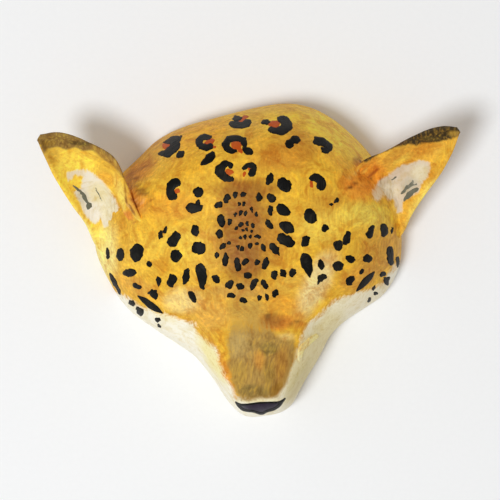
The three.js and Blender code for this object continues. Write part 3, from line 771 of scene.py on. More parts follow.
def painted_paper():
    """Acrylic brushed over papier-mache and varnished: satin streaks, ragged coats, bare kraft inside."""
    material, tree, shader, place = start_material("varnished_acrylic_on_papier_mache")
    if tree is None:
        return material
    ridge = add(tree, "ShaderNodeAttribute", attribute_name="third_coat").outputs["Alpha"]
    streaks = brush_strokes(tree, place, sizes().stroke_length, sizes().stroke_width, ridge)
    # Real grit is a few tenths of a millimetre; it is drawn coarser, so that it shows.
    grit_size, mottle_size, strip_length, strip_width = 2.2 * MM, 12 * MM, 46 * MM, 20 * MM
    grit = add(tree, "ShaderNodeTexNoise", {
        "Vector": place, "Scale": 1 / grit_size, "Detail": 3.0, "Roughness": 0.6}).outputs["Fac"]
    mottle = add(tree, "ShaderNodeTexNoise", {
        "Vector": place, "Scale": 1 / mottle_size, "Detail": 4.0, "Roughness": 0.6,
        "Distortion": 0.9}).outputs["Fac"]

    def toned(colour, share, low, high, most, tint, blend="MULTIPLY"):
        """The colour with a tint over it, from none where the share is at `low` to `most` at `high`."""
        amount = add(tree, "ShaderNodeMapRange", {
            "Value": share, "From Min": low, "From Max": high, "To Max": most}).outputs[0]
        return add(tree, "ShaderNodeMix", {0: amount, 6: colour, 7: tint}, data_type="RGBA",
                   blend_type=blend).outputs[2]

    def layered(total, *layers):
        """The total with a share of each layer added."""
        for layer, amount in layers:
            total = add(tree, "ShaderNodeMath", {
                0: layer, 1: amount, 2: total}, operation="MULTIPLY_ADD").outputs[0]
        return total

    colour = add(tree, "ShaderNodeAttribute", attribute_name="ground_coat").outputs["Color"]
    # What each pattern does: from where to where it darkens and by how much, then the same for its glow.
    tints = (
        (mottle, (0.5, 0.36, 0.5), (0.52, 0.68, 0.26)),
        (streaks, (0.45, 0.05, 0.3), (0.58, 1.0, 0.2)),
        (grit, (0.46, 0.3, 0.34), (0.54, 0.7, 0.22)),
    )
    for share, dark, light in tints:
        colour = toned(colour, share, *dark, colours().shade)
        colour = toned(colour, share, *light, colours().glow, "DODGE")
    # Each later coat: how far the ground shows through its streaks, and the tint of its thin places, with
    # the tint's strength.
    coats = (("second_coat", 0.1, linear("#EADCAE"), 0.5), ("third_coat", 0.25, linear("#AC8F58"), 0.4))
    for name, through, tint, depth in coats:
        coat = add(tree, "ShaderNodeAttribute", attribute_name=name)
        under = add(tree, "ShaderNodeMapRange", {"Value": streaks, "From Min": 0.5, "To Max": through})
        hue = toned(coat.outputs["Color"], streaks, 0.5, 0.0, depth, tint)
        hue = toned(hue, mottle, 0.5, 0.34, depth, tint)
        hue = add(tree, "ShaderNodeMix", {0: under.outputs[0], 6: hue, 7: colour},
                  data_type="RGBA").outputs[2]
        torn = layered(coat.outputs["Alpha"], (streaks, 0.3), (grit, 0.4))
        cover = add(tree, "ShaderNodeMapRange", {
            "Value": torn, "From Min": 0.6, "From Max": 1.08}, interpolation_type="SMOOTHSTEP")
        some = add(tree, "ShaderNodeMapRange", {
            "Value": coat.outputs["Alpha"], "From Min": 0.02, "From Max": 0.12})
        share = add(tree, "ShaderNodeMath", {
            0: cover.outputs[0], 1: some.outputs[0]}, operation="MULTIPLY").outputs[0]
        colour = add(tree, "ShaderNodeMix", {0: share, 6: colour, 7: hue}, data_type="RGBA").outputs[2]

    bare = add(tree, "ShaderNodeAttribute", attribute_name="bare_paper").outputs["Fac"]
    sheet = add(tree, "ShaderNodeMix", {0: grit, 6: colours().kraft, 7: linear("#8C6E45")},
                data_type="RGBA").outputs[2]
    colour = add(tree, "ShaderNodeMix", {0: bare, 6: colour, 7: sheet}, data_type="RGBA").outputs[2]

    satin = add(tree, "ShaderNodeMapRange", {"Value": streaks, "To Min": 0.6, "To Max": 0.45}).outputs[0]
    rough = add(tree, "ShaderNodeMix", {0: bare, 2: satin, 3: 0.85}).outputs[0]
    torn_strips = add(tree, "ShaderNodeMapping", {
        "Vector": place, "Rotation": (0, 0, 0.6),
        "Scale": (strip_length, strip_width, strip_width)}, vector_type="TEXTURE")
    strips = add(tree, "ShaderNodeTexVoronoi", {"Vector": torn_strips.outputs[0], "Scale": 1.0})
    step = add(tree, "ShaderNodeSeparateColor", {0: strips.outputs["Color"]}).outputs[0]
    relief = layered(0.0, (streaks, 0.12), (grit, 0.07), (step, 0.1))
    bump = add(tree, "ShaderNodeBump", {"Height": relief, "Distance": MM, "Strength": 1.0})
    fill(shader, {"Base Color": colour, "Roughness": rough, "Normal": bump.outputs[0], **ACRYLIC_SHINE})
    return material


def mark_paint(name, colour, lighter, rough):
    """Acrylic laid thick in one go: near-flat colour, thin at the end of a stroke, with a soft shine."""
    material, tree, shader, place = start_material(name)
    if tree is None:
        return material
    stroke_length, stroke_width, thin_size = 7 * MM, 1.1 * MM, 9 * MM
    streaks = brush_strokes(tree, place, stroke_length, stroke_width)
    thin = add(tree, "ShaderNodeTexNoise", {
        "Vector": place, "Scale": 1 / thin_size, "Detail": 2.0}).outputs["Fac"]
    worn = add(tree, "ShaderNodeMapRange", {"Value": thin, "From Min": 0.45, "From Max": 0.7}).outputs[0]
    share = add(tree, "ShaderNodeMath", {0: streaks, 1: worn}, operation="MULTIPLY").outputs[0]
    mixed = add(tree, "ShaderNodeMix", {0: share, 6: colour, 7: lighter}, data_type="RGBA").outputs[2]
    gloss = add(tree, "ShaderNodeMapRange", {"Value": streaks, "To Min": rough, "To Max": rough + 0.12})
    height = add(tree, "ShaderNodeMath", {0: streaks, 1: 0.09}, operation="MULTIPLY")
    bump = add(tree, "ShaderNodeBump", {"Height": height.outputs[0], "Distance": MM, "Strength": 1.0})
    fill(shader, {
        "Base Color": mixed, "Roughness": gloss.outputs[0], "Normal": bump.outputs[0], **ACRYLIC_SHINE})
    return material


def black_acrylic():
    """Carbon black acrylic: deep, a little grey where the brush ran dry."""
    return mark_paint("carbon_black_acrylic", colours().black, linear("#2B2820"), 0.5)


def rust_acrylic():
    """Burnt sienna acrylic: brick red, lighter where it thins over the yellow."""
    return mark_paint("burnt_sienna_acrylic", colours().rust, linear("#C65F1E"), 0.5)


def plum_acrylic():
    """Black acrylic with violet in it, for the nose."""
    return mark_paint("plum_black_acrylic", colours().plum, linear("#3B3142"), 0.4)


def slate_acrylic():
    """Grey acrylic dragged almost dry over the cream inside the ears."""
    return mark_paint("dry_brushed_slate_acrylic", colours().slate, linear("#9A9583"), 0.5)


def kraft_paper():
    """Kraft paper torn in strips and pasted: matt brown, fibrous, darker where the paste soaked in."""
    material, tree, shader, place = start_material("pasted_kraft_paper")
    if tree is None:
        return material
    fibre_length, fibre_width, paste_size = 4 * MM, 0.7 * MM, 14 * MM
    grain = add(tree, "ShaderNodeMapping", {
        "Vector": place, "Scale": (1 / fibre_length, 1 / fibre_width, 1 / fibre_width)})
    fibre = add(tree, "ShaderNodeTexNoise", {"Vector": grain.outputs[0], "Scale": 1.0, "Detail": 3.0})
    paste = add(tree, "ShaderNodeTexNoise", {"Vector": place, "Scale": 1 / paste_size, "Detail": 2.0})
    fibrous = add(tree, "ShaderNodeMix", {
        0: fibre.outputs["Fac"], 6: colours().kraft, 7: linear("#94754B")}, data_type="RGBA").outputs[2]
    soaked = add(tree, "ShaderNodeMapRange", {
        "Value": paste.outputs["Fac"], "From Min": 0.5, "From Max": 0.68, "To Max": 0.55}).outputs[0]
    mixed = add(tree, "ShaderNodeMix", {0: soaked, 6: fibrous, 7: linear("#7A5C38")},
                data_type="RGBA").outputs[2]
    height = add(tree, "ShaderNodeMath", {0: fibre.outputs["Fac"], 1: 0.12}, operation="MULTIPLY")
    bump = add(tree, "ShaderNodeBump", {"Height": height.outputs[0], "Distance": MM, "Strength": 1.0})
    fill(shader, {"Base Color": mixed, "Normal": bump.outputs[0], "Roughness": 0.85})
    return material


def galvanised_wire():
    """Zinc-coated mild steel wire: dull grey metal with cloudy spangle."""
    material, tree, shader, place = start_material("galvanised_steel_wire")
    if tree is None:
        return material
    spangle = add(tree, "ShaderNodeTexVoronoi", {"Vector": place, "Scale": 1 / (1.2 * MM)})
    cloud = add(tree, "ShaderNodeSeparateColor", {0: spangle.outputs["Color"]}).outputs[0]
    mixed = add(tree, "ShaderNodeMix", {0: cloud, 6: linear("#9FA09E"), 7: linear("#B9BAB8")},
                data_type="RGBA").outputs[2]
    gloss = add(tree, "ShaderNodeMapRange", {"Value": cloud, "To Min": 0.3, "To Max": 0.48}).outputs[0]
    fill(shader, {"Base Color": mixed, "Roughness": gloss, "Metallic": 1.0})
    return material


def card_sheet():
    """Matt white card: even, with the faintest tooth."""
    material, tree, shader, place = start_material("matt_white_card")
    if tree is None:
        return material
    tooth = add(tree, "ShaderNodeTexNoise", {"Vector": place, "Scale": 1 / (3 * MM), "Detail": 2.0})
    mixed = add(tree, "ShaderNodeMix", {
        0: tooth.outputs["Fac"], 6: colours().floor, 7: linear("#F8F8F9")}, data_type="RGBA").outputs[2]
    fill(shader, {"Base Color": mixed, "Roughness": 0.9})
    return material


# ---- the face ----

def spine_side(points, normals):
    """Above 0 where a surface faces away from the spine of the face, below 0 where it faces it."""
    start, end = (np.append(p * MM, 0.0) for p in SPINE)
    along = np.clip(((points - start) @ (end - start)) / ((end - start) @ (end - start)), 0, 1)
    away = points - (start + along[:, None] * (end - start))
    return np.einsum("ij,ij->i", unit(away), normals)


def paper_relief(points, depth):
    """Broad swells, smaller ones over them, and dents, as pasted paper dries with."""
    broad, small, dent = 34 * MM, 13 * MM, 8 * MM
    swell = ripple(points, broad, 4) + 0.5 * ripple(points, small, 5)
    dents = -np.clip(ripple(points, dent, 6) - 0.1, 0, 1) * 0.5
    return depth * (swell + dents)


def build_face():
    """The face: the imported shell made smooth, with the relief of its paper."""
    rough = placed("face_cage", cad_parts["face_shell"].data.copy())
    clean(rough, merge=0.01 * MM)
    join_triangles(rough.data)
    rounding = rough.modifiers.new("rounding", "SUBSURF")
    rounding.levels = rounding.render_levels = 2
    face = evaluated_copy(rough, "face")
    clean(face)
    mesh = face.data
    points, normals = vectors(mesh.vertices, "co"), vectors(mesh.vertex_normals, "vector")
    outer = smooth(-0.1, 0.1, spine_side(points, normals))
    off_rim = smooth(0, RIM_FADE * MM, points[:, 2])
    shift = paper_relief(points, sizes().paper_relief)
    shift = shift - root_creases(points) * 0.5 * sizes().fold_relief * outer
    points += normals * (shift * off_rim)[:, None]
    mesh.vertices.foreach_set("co", points.ravel())
    mesh.update()
    scheme = {"ground": FACE_GROUND, "dabs": FACE_DABS_AND_PAINTED_LIGHT + ROOT_WASHES_SHADE_AND_HIGHLIGHTS["left"] + ROOT_WASHES_SHADE_AND_HIGHLIGHTS["right"]}
    paint_mesh(mesh, scheme, (CREAM_COAT_AND_PAINTED_SHADE, OLIVE_COAT), bare=1 - outer)
    mesh.materials.clear()
    mesh.materials.append(painted_paper())
    settle(face, "shell_paint", "face_shell")


def outer_skin():
    """The painted side of the face, to measure from."""
    mesh = bpy.data.objects["face"].data
    bare = np.empty(len(mesh.vertices))
    mesh.attributes["bare_paper"].data.foreach_get("value", bare)
    faces = [tuple(p.vertices) for p in mesh.polygons if max(bare[v] for v in p.vertices) < 0.5]
    return BVHTree.FromPolygons([v.co for v in mesh.vertices], faces)


def height_over(skin, point):
    """Distance of a point from the painted side of the face, below 0 inside it."""
    spot, normal, _, distance = skin.find_nearest(Vector(point))
    return math.copysign(distance, (Vector(point) - spot).dot(normal))


# ---- ears ----

def ear_points(ear, s, v):
    """Points on the leaf's inner face, s from root to tip and v from its outer to its inner edge."""
    outer, inner = spline(ear["outer"], s), spline(ear["inner"], s)
    width = np.linalg.norm(outer - inner, axis=-1, keepdims=True)
    inset = np.minimum(EAR_EDGE_INSET / width, 0.3)
    across = v[..., None]
    point = outer + (inner - outer) * (inset + (1 - 2 * inset) * across)
    point[..., 2] -= (EAR_CUP * width * 4 * across * (1 - across))[..., 0]
    return (point + CENTRING) * MM


def sheet_normals(grid):
    """Unit normals of a grid of points, pointing up."""
    normals = unit(np.cross(np.gradient(grid, axis=0), np.gradient(grid, axis=1)))
    return np.where(normals[..., 2:] < 0, -normals, normals)


def root_places(ear, skin, v, depth):
    """How far along the leaf, at each v, it stands `depth` millimetres out of the face."""
    inside, outside = np.zeros(len(v)), np.full(len(v), ROOT_LIMIT)
    for _ in range(ROOT_HALVINGS):
        middle = (inside + outside) / 2
        over = [height_over(skin, p) for p in ear_points(ear, middle, v)]
        buried = np.array(over) < depth * MM
        inside, outside = np.where(buried, middle, inside), np.where(buried, outside, middle)
    return outside


def edge_crowded(count, share=0.02):
    """Places from 0 to 1, closer together near both ends."""
    edge = share * np.array([0, 0.12, 0.35, 0.65, 1])
    middle = np.linspace(share, 1 - share, count - 2 * len(edge) + 2)[1:-1]
    return np.concatenate([edge, middle, 1 - edge[::-1]])


def build_ear(side):
    """One cupped leaf, from just inside the face to its tip, with a rounded paper edge."""
    ear, scheme = EARS[side], EAR_SCHEMES[side]
    painted = {"ground": scheme["ground"], "dabs": scheme["dabs"] + ROOT_WASHES_SHADE_AND_HIGHLIGHTS[side]}
    skin = outer_skin()
    v = edge_crowded(EAR_COLUMNS, 0.03)
    root = root_places(ear, skin, v, -ROOT_DEPTH)
    share = edge_crowded(EAR_ROWS, 0.015)[:, None]
    s = root[None, :] + (1 - root[None, :]) * share
    across = np.broadcast_to(v, s.shape)
    grid = ear_points(ear, s, across)
    normals = sheet_normals(grid)
    width = np.linalg.norm(grid[:, -1] - grid[:, 0], axis=-1)[:, None]
    to_edge = np.minimum(np.minimum(across, 1 - across) * width, (1 - share) * EAR_LENGTH * MM)
    half = EAR_THICKNESS / 2 * MM
    rounded = half * np.sqrt(1 - (1 - np.clip(to_edge / half, 0.02, 1)) ** 2)
    relief = paper_relief(grid.reshape(-1, 3), EAR_SWELL * MM).reshape(s.shape)
    relief += ripple(grid, EAR_GRAIN * MM, 9) * EAR_GRAIN_DEPTH * MM
    middle = grid - normals * half + normals * relief[..., None]
    top, bottom = middle + normals * rounded[..., None], middle - normals * rounded[..., None]
    vertices, faces = closed_sheet(top, bottom)
    leaf = new_object(f"{side}_ear_leaf", vertices, faces)
    up = vectors(leaf.data.vertex_normals, "vector")[:, 2]
    paint_mesh(leaf.data, painted, (scheme["cream"], scheme["umber"]), front=smooth(-0.1, 0.2, up),
               wander=1.2, feather=2.2)
    leaf.data.materials.append(painted_paper())
    settle(leaf, "ear_paint", f"{side}_ear")


def build_fold(side, part):
    """Pasted paper in the angle between the ear and the face, wrinkled across the fold."""
    ear, skin = EARS[side], outer_skin()
    v = np.linspace(0.03, 0.97, FOLD_COLUMNS)
    root = root_places(ear, skin, v, 0)
    reach = FOLD_REACH * (0.55 + 0.45 * np.sin(np.pi * v))
    foot = ear_points(ear, root, v)
    span = 0.02
    near, far = ear_points(ear, root - span, v), ear_points(ear, root + span, v)
    climb = unit(far - near)
    across = unit(np.gradient(foot, axis=0))
    leaf_normal = unit(np.cross(climb, across))
    leaf_normal = np.where(leaf_normal[:, 2:] < 0, -leaf_normal, leaf_normal)
    away = leaf_normal if part == "front" else -leaf_normal
    if part == "back":
        foot = foot - leaf_normal * EAR_THICKNESS * MM
    pace = np.linalg.norm(far - near, axis=1) / (2 * span)
    step = root + reach * MM / pace
    on_leaf = ear_points(ear, step, v) + (foot - ear_points(ear, root, v))
    on_face, face_normal = [], []
    for p, direction, length in zip(foot, away, reach):
        _, normal, _, _ = skin.find_nearest(Vector(p))
        flat = Vector(direction) - normal * Vector(direction).dot(normal)
        spot, normal, _, _ = skin.find_nearest(Vector(p) + flat.normalized() * (length * MM))
        on_face.append(spot)
        face_normal.append(normal)
    on_face, face_normal = np.array(on_face), np.array(face_normal)
    u = np.linspace(0, 1, FOLD_ROWS)[None, :, None]

    def bowed(a, corner, b):
        return (1 - u) ** 2 * a[:, None] + 2 * u * (1 - u) * corner[:, None] + u**2 * b[:, None]

    hollow = foot + FOLD_HOLLOW * ((on_face + on_leaf) / 2 - foot)
    sunk = FOLD_SINK * MM
    top = bowed(on_face - face_normal * sunk, hollow, on_leaf - away * sunk)
    out = unit(face_normal + away)[:, None]
    # Wrinkles run across the fold: the pattern changes fast along it and slowly over it.
    over = np.broadcast_to(u[..., 0], top.shape[:2])
    along = v[:, None] * 55 * MM + over * 4 * MM
    wave = ripple(np.stack([along, over * 6 * MM, np.zeros(over.shape)], axis=-1), WRINKLE * MM,
                  11 if part == "front" else 12)
    fine = ripple(top, FINE_WRINKLE * MM, 13)
    swell = np.sin(np.pi * over) ** 0.7
    top = top + out * ((wave + 0.35 * fine + 0.25) * swell * sizes().fold_relief)[..., None]
    buried = FOLD_BURIED * MM
    under = bowed(on_face - face_normal * 1.1 * buried, foot - out[:, 0] * 1.2 * buried,
                  on_leaf - away * buried)
    vertices, faces = closed_sheet(top, under)
    fold = new_object(f"{side}_ear_{part}_fold", vertices, faces)
    scheme = EAR_SCHEMES[side]
    painted = {"ground": FACE_GROUND, "dabs": FACE_DABS_AND_PAINTED_LIGHT + scheme["dabs"] + ROOT_WASHES_SHADE_AND_HIGHLIGHTS[side]}
    paint_mesh(fold.data, painted, (scheme["cream"], scheme["umber"]), wander=1.2, feather=2.2)
    fold.data.materials.append(painted_paper())
    settle(fold, "strip_paint", f"{side}_ear_{part}_strip")


# ---- painted marks ----

# How high the corners of a mark lie, in thicknesses of its paint: its top, its edge and its buried foot.
TOP, EDGE, FOOT = 1.0, -0.6, -2.5


def disc_stencil(sectors=24, rings=2):
    """A closed round pad of radius 1: corners, how high each lies, and faces."""
    corners, lifts = [(0.0, 0.0), (0.0, 0.0)], [TOP, FOOT]
    levels = [((r + 1) / rings * 0.9, TOP) for r in range(rings)] + [(1.0, EDGE), (0.93, FOOT)]
    for radius, lift in levels:
        for k in range(sectors):
            angle = 2 * math.pi * k / sectors
            corners.append((radius * math.cos(angle), radius * math.sin(angle)))
            lifts.append(lift)
    faces = []
    for k in range(sectors):
        n = (k + 1) % sectors
        faces.append((0, 2 + k, 2 + n))
        for ring in range(len(levels) - 1):
            a, b = 2 + ring * sectors, 2 + (ring + 1) * sectors
            faces.append((a + k, b + k, b + n, a + n))
        last = 2 + (len(levels) - 1) * sectors
        faces.append((1, last + n, last + k))
    return corners, lifts, faces


def ribbon_stencil(left, right):
    """A closed pad between two edges: corners, how high each lies, and faces."""
    level = [(share, TOP) for share in (0.07, 0.28, 0.5, 0.72, 0.93)]
    profile = [(0.06, FOOT), (0.0, EDGE), *level, (1.0, EDGE), (0.94, FOOT)]
    corners, lifts, faces = [], [], []
    for a, b in zip(left, right):
        for share, lift in profile:
            corners.append((a[0] + (b[0] - a[0]) * share, a[1] + (b[1] - a[1]) * share))
            lifts.append(lift)
    size = len(profile)
    for i in range(len(left) - 1):
        for k in range(size):
            a, b = i * size + k, i * size + (k + 1) % size
            faces.append((a, b, b + size, a + size))
    faces.append(tuple(range(size - 1, -1, -1)))
    faces.append(tuple((len(left) - 1) * size + k for k in range(size)))
    return corners, lifts, faces


def brush_stencil(path, half_widths):
    """A stroke of the brush along a path, its ends rounded as the brush sets down and lifts."""
    length = sum(math.dist(a, b) for a, b in zip(path, path[1:]))
    spacing, fewest, thinnest = 0.8, 8, 0.06
    count = max(fewest, round(length / spacing))
    share = (1 - np.cos(np.linspace(0, np.pi, count))) / 2
    centre = spline(path, share)
    width = np.interp(share, np.linspace(0, 1, len(half_widths)), half_widths)
    travelled = np.concatenate([[0], np.cumsum(np.linalg.norm(np.diff(centre, axis=0), axis=1))])
    to_end = np.minimum(travelled, travelled[-1] - travelled)
    ends = np.clip(to_end / np.maximum(width, 0.3), 0.0, 1)
    width = np.maximum(width * np.sqrt(1 - (1 - ends) ** 2), thinnest)
    ahead = unit(np.gradient(centre, axis=0))
    side = np.column_stack([-ahead[:, 1], ahead[:, 0]]) * width[:, None]
    return ribbon_stencil(centre + side, centre - side)


def arc_stencil(centre, radii, sweep, half_width):
    """A stroke round part of an oval, thinner towards its ends."""
    angles = np.radians(np.linspace(*sweep, 9))
    path = [(centre[0] + radii[0] * math.cos(a), centre[1] + radii[1] * math.sin(a)) for a in angles]
    press = [0.7, 0.95, 1.1, 1.15, 1.05, 1.1, 1.15, 0.95, 0.6]
    return brush_stencil(path, [half_width * p for p in press])


def stencil_object(name, stencils):
    """Flat stencils as one mesh in the plane of the rim, with how high each corner is to lie."""
    vertices, lifts, faces = [], [], []
    for corners, levels, polygons in stencils:
        start = len(vertices)
        vertices += [(x * MM, y * MM, 0.0) for x, y in corners]
        lifts += levels
        faces += [tuple(start + i for i in face) for face in polygons]
    mesh = bpy.data.meshes.new(name)
    mesh.from_pydata(vertices, [], faces)
    mesh.attributes.new("lift", "FLOAT", "POINT").data.foreach_set("value", lifts)
    return placed(name, mesh)


# What both trees of the marks are told.
PAINT_INPUTS = {
    "Surface": "NodeSocketObject", "Eye": "NodeSocketVector", "Thickness": "NodeSocketFloat",
    "Wobble": "NodeSocketFloat", "Paint": "NodeSocketMaterial"}


def start_tree(name, sockets):
    """A node tree with its named inputs and one geometry output, and its input node's sockets."""
    tree = bpy.data.node_groups.new(name, "GeometryNodeTree")
    for socket, kind in sockets.items():
        tree.interface.new_socket(socket, in_out="INPUT", socket_type=kind)
    tree.interface.new_socket("Geometry", in_out="OUTPUT", socket_type="NodeSocketGeometry")
    return tree, add(tree, "NodeGroupInput").outputs


def end_tree(tree, geometry, paint):
    """Ends a tree in plain geometry that wears its paint."""
    whole = add(tree, "GeometryNodeRealizeInstances", {0: geometry})
    painted = add(tree, "GeometryNodeSetMaterial", {"Geometry": whole.outputs[0], "Material": paint})
    add(tree, "NodeGroupOutput", {0: painted.outputs[0]})
    return tree


def lay_paint_tree():
    """Lets flat stencils down on a surface along the lines from the painter's eye.

    Their outlines wander a little first, and each corner is lifted off the surface by its own share.
    """
    tree = bpy.data.node_groups.get("lay_paint")
    if tree:
        return tree
    tree, given = start_tree("lay_paint", {"Geometry": "NodeSocketGeometry", **PAINT_INPUTS})
    place = add(tree, "GeometryNodeInputPosition").outputs[0]
    wander = place
    for size, share in ((5 * MM, 0.9), (2.2 * MM, 0.6), (1.0 * MM, 0.3)):
        grain = add(tree, "ShaderNodeTexNoise", {"Vector": place, "Scale": 1 / size, "Detail": 1.0})
        centred = add(tree, "ShaderNodeVectorMath", {0: grain.outputs["Color"], 1: (0.5, 0.5, 0.5)},
                      operation="SUBTRACT")
        level = add(tree, "ShaderNodeVectorMath", {0: centred.outputs[0], 1: (share, share, 0)},
                    operation="MULTIPLY")
        amount = add(tree, "ShaderNodeVectorMath", {0: level.outputs[0], "Scale": given["Wobble"]},
                     operation="SCALE")
        wander = add(tree, "ShaderNodeVectorMath", {0: wander, 1: amount.outputs[0]}).outputs[0]
    aim = add(tree, "ShaderNodeVectorMath", {0: wander, 1: given["Eye"]}, operation="SUBTRACT").outputs[0]
    surface = add(tree, "GeometryNodeObjectInfo", {"Object": given["Surface"]}).outputs["Geometry"]
    ray = add(tree, "GeometryNodeRaycast", {
        "Target Geometry": surface, "Source Position": given["Eye"], "Ray Direction": aim,
        "Ray Length": 3.0}).outputs
    close = add(tree, "GeometryNodeProximity", {0: surface, "Source Position": wander}).outputs
    spot = add(tree, "GeometryNodeSwitch", {
        "Switch": ray["Is Hit"], "False": close["Position"], "True": ray["Hit Position"]},
        input_type="VECTOR").outputs[0]
    lift = add(tree, "GeometryNodeInputNamedAttribute", {"Name": "lift"}, data_type="FLOAT").outputs[0]
    height = add(tree, "ShaderNodeMath", {0: lift, 1: given["Thickness"]}, operation="MULTIPLY")
    raised = add(tree, "ShaderNodeVectorMath", {
        0: ray["Hit Normal"], "Scale": height.outputs[0]}, operation="SCALE")
    final = add(tree, "ShaderNodeVectorMath", {0: spot, 1: raised.outputs[0]}).outputs[0]
    laid = add(tree, "GeometryNodeSetPosition", {"Geometry": given["Geometry"], "Position": final})
    return end_tree(tree, laid.outputs[0], given["Paint"])


def spot_tree():
    """Stamps a round pad at each point, drawn out, turned and tapered as the point says, and lays it."""
    tree = bpy.data.node_groups.get("stamp_spots")
    if tree:
        return tree
    tree, given = start_tree("stamp_spots", {
        "Geometry": "NodeSocketGeometry", "Pad": "NodeSocketObject", **PAINT_INPUTS})
    pad = add(tree, "GeometryNodeObjectInfo", {"Object": given["Pad"]}).outputs["Geometry"]
    local = add(tree, "GeometryNodeInputPosition").outputs[0]
    marked = add(tree, "GeometryNodeStoreNamedAttribute", {
        "Geometry": pad, "Name": "on_pad", "Value": local}, data_type="FLOAT_VECTOR", domain="POINT")
    stamped = add(tree, "GeometryNodeInstanceOnPoints", {
        "Points": given["Geometry"], "Instance": marked.outputs[0]})
    whole = add(tree, "GeometryNodeRealizeInstances", {0: stamped.outputs[0]}).outputs[0]

    def named(name, kind="FLOAT"):
        return add(tree, "GeometryNodeInputNamedAttribute", {"Name": name}, data_type=kind).outputs[0]

    on_pad = named("on_pad", "FLOAT_VECTOR")
    axes = add(tree, "ShaderNodeSeparateXYZ", {0: on_pad}).outputs
    centre = add(tree, "ShaderNodeVectorMath", {0: local, 1: on_pad}, operation="SUBTRACT").outputs[0]
    along = add(tree, "ShaderNodeMath", {0: axes[0], 1: named("half_length")}, operation="MULTIPLY")
    lean = add(tree, "ShaderNodeMath", {0: axes[0], 1: named("taper")}, operation="MULTIPLY")
    lean = add(tree, "ShaderNodeMath", {0: lean.outputs[0], 1: 1 / MM}, operation="MULTIPLY")
    slim = add(tree, "ShaderNodeMath", {0: 1.0, 1: lean.outputs[0]}, operation="SUBTRACT")
    across = add(tree, "ShaderNodeMath", {0: axes[1], 1: named("half_width")}, operation="MULTIPLY")
    across = add(tree, "ShaderNodeMath", {0: across.outputs[0], 1: slim.outputs[0]}, operation="MULTIPLY")
    drawn = add(tree, "ShaderNodeCombineXYZ", {0: along.outputs[0], 1: across.outputs[0]})
    turned = add(tree, "ShaderNodeVectorRotate", {
        "Vector": drawn.outputs[0], "Angle": named("turn")}, rotation_type="Z_AXIS")
    full = add(tree, "ShaderNodeVectorMath", {0: centre, 1: turned.outputs[0]}).outputs[0]
    shaped = add(tree, "GeometryNodeSetPosition", {"Geometry": whole, "Position": full})
    laid = add(tree, "GeometryNodeGroup", node_tree=lay_paint_tree())
    fill(laid, {"Geometry": shaped.outputs[0], **{name: given[name] for name in PAINT_INPUTS}})
    return end_tree(tree, laid.outputs[0], given["Paint"])


def run_tree(source, tree, name, values):
    """Runs a node tree on an object and returns the result as a plain piece."""
    modifier = source.modifiers.new("paint", "NODES")
    modifier.node_group = tree
    for item in tree.interface.items_tree:
        if item.in_out == "INPUT" and item.name in values:
            modifier[item.identifier] = values[item.name]
    piece = evaluated_copy(source, name)
    for attribute in ("lift", "on_pad", "half_length", "half_width", "turn", "taper"):
        if attribute in piece.data.attributes:
            piece.data.attributes.remove(piece.data.attributes[attribute])
    clean(piece)
    return piece


def paint_values(surface, paint, thickness=None, wobble=None):
    """What both trees are told: the surface to paint, the paint, and how thick and how ragged it is."""
    return {
        "Surface": bpy.data.objects[surface], "Eye": EYE, "Paint": paint,
        "Thickness": sizes().paint_thickness if thickness is None else thickness,
        "Wobble": sizes().edge_wobble if wobble is None else wobble,
    }


def lay_strokes(name, stencils, values, slot):
    """Lays strokes of the brush on a surface."""
    piece = run_tree(stencil_object(f"{name}_stencil", stencils), lay_paint_tree(), name, values)
    settle(piece, slot)


def stamp_spots(name, spots, values, slot):
    """Stamps spots on a surface; one that gives no taper has none."""
    mesh = bpy.data.meshes.new(f"{name}_points")
    mesh.from_pydata([(x * MM, y * MM, 0) for x, y, *_ in spots], [], [])
    table = np.array([spot if len(spot) == 6 else (*spot, 0) for spot in spots], float)
    facts = {
        "half_length": table[:, 2] / 2, "half_width": table[:, 3] / 2,
        "turn": np.radians(table[:, 4]), "taper": table[:, 5]}
    for key, column in facts.items():
        mesh.attributes.new(key, "FLOAT", "POINT").data.foreach_set("value", column)
    points = placed(f"{name}_points", mesh)
    pad = stencil_object("pad", [disc_stencil()])
    piece = run_tree(points, spot_tree(), name, {**values, "Pad": pad})
    bpy.data.objects.remove(pad)
    settle(piece, slot)


def build_spots():
    """The black spots of the forehead and cheeks."""
    spots = FOREHEAD_SPOTS + OVAL_SPOTS + LEFT_CHEEK_SPOTS + RIGHT_CHEEK_SPOTS
    stamp_spots("black_spots", spots, paint_values("face", black_acrylic()), "shell_paint")


def build_rosettes():
    """The broken rings on the crown, and the rust dabs inside them."""
    arcs = [arc_stencil(**arc) for arc in ROSETTE_ARCS]
    strokes = [brush_stencil(path, widths) for path, widths in ROSETTE_STROKES]
    rust = paint_values("face", rust_acrylic(), thickness=sizes().paint_thickness * 0.6)
    stamp_spots("rosette_centres", RUST_SPOTS, rust, "shell_paint")
    black = paint_values("face", black_acrylic())
    lay_strokes("rosette_strokes", arcs + strokes, black, "shell_paint")
    stamp_spots("rosette_lobes", ROSETTE_LOBES, black, "shell_paint")


def build_eyes():
    """The slit eyes, one stroke each."""
    slits = [brush_stencil(path, widths) for path, widths in EYE_SLITS]
    lay_strokes("eyes", slits, paint_values("face", black_acrylic(), wobble=0.3 * MM), "shell_paint")


def build_nose():
    """The nose: plum black inside a black rim."""
    share = np.linspace(0, 1, 44)
    top, bottom = spline(NOSE_TOP, share), spline(NOSE_BOTTOM, share)
    lay_strokes("nose", [ribbon_stencil(top, bottom)],
                paint_values("face", plum_acrylic(), wobble=0.4 * MM), "shell_paint")
    rim = [brush_stencil(NOSE_TOP, NOSE_TOP_WIDTHS), brush_stencil(NOSE_BOTTOM, NOSE_BOTTOM_WIDTHS)]
    lay_strokes("nose_rim", rim, paint_values(
        "face", black_acrylic(), thickness=1.6 * sizes().paint_thickness, wobble=0.4 * MM), "shell_paint")


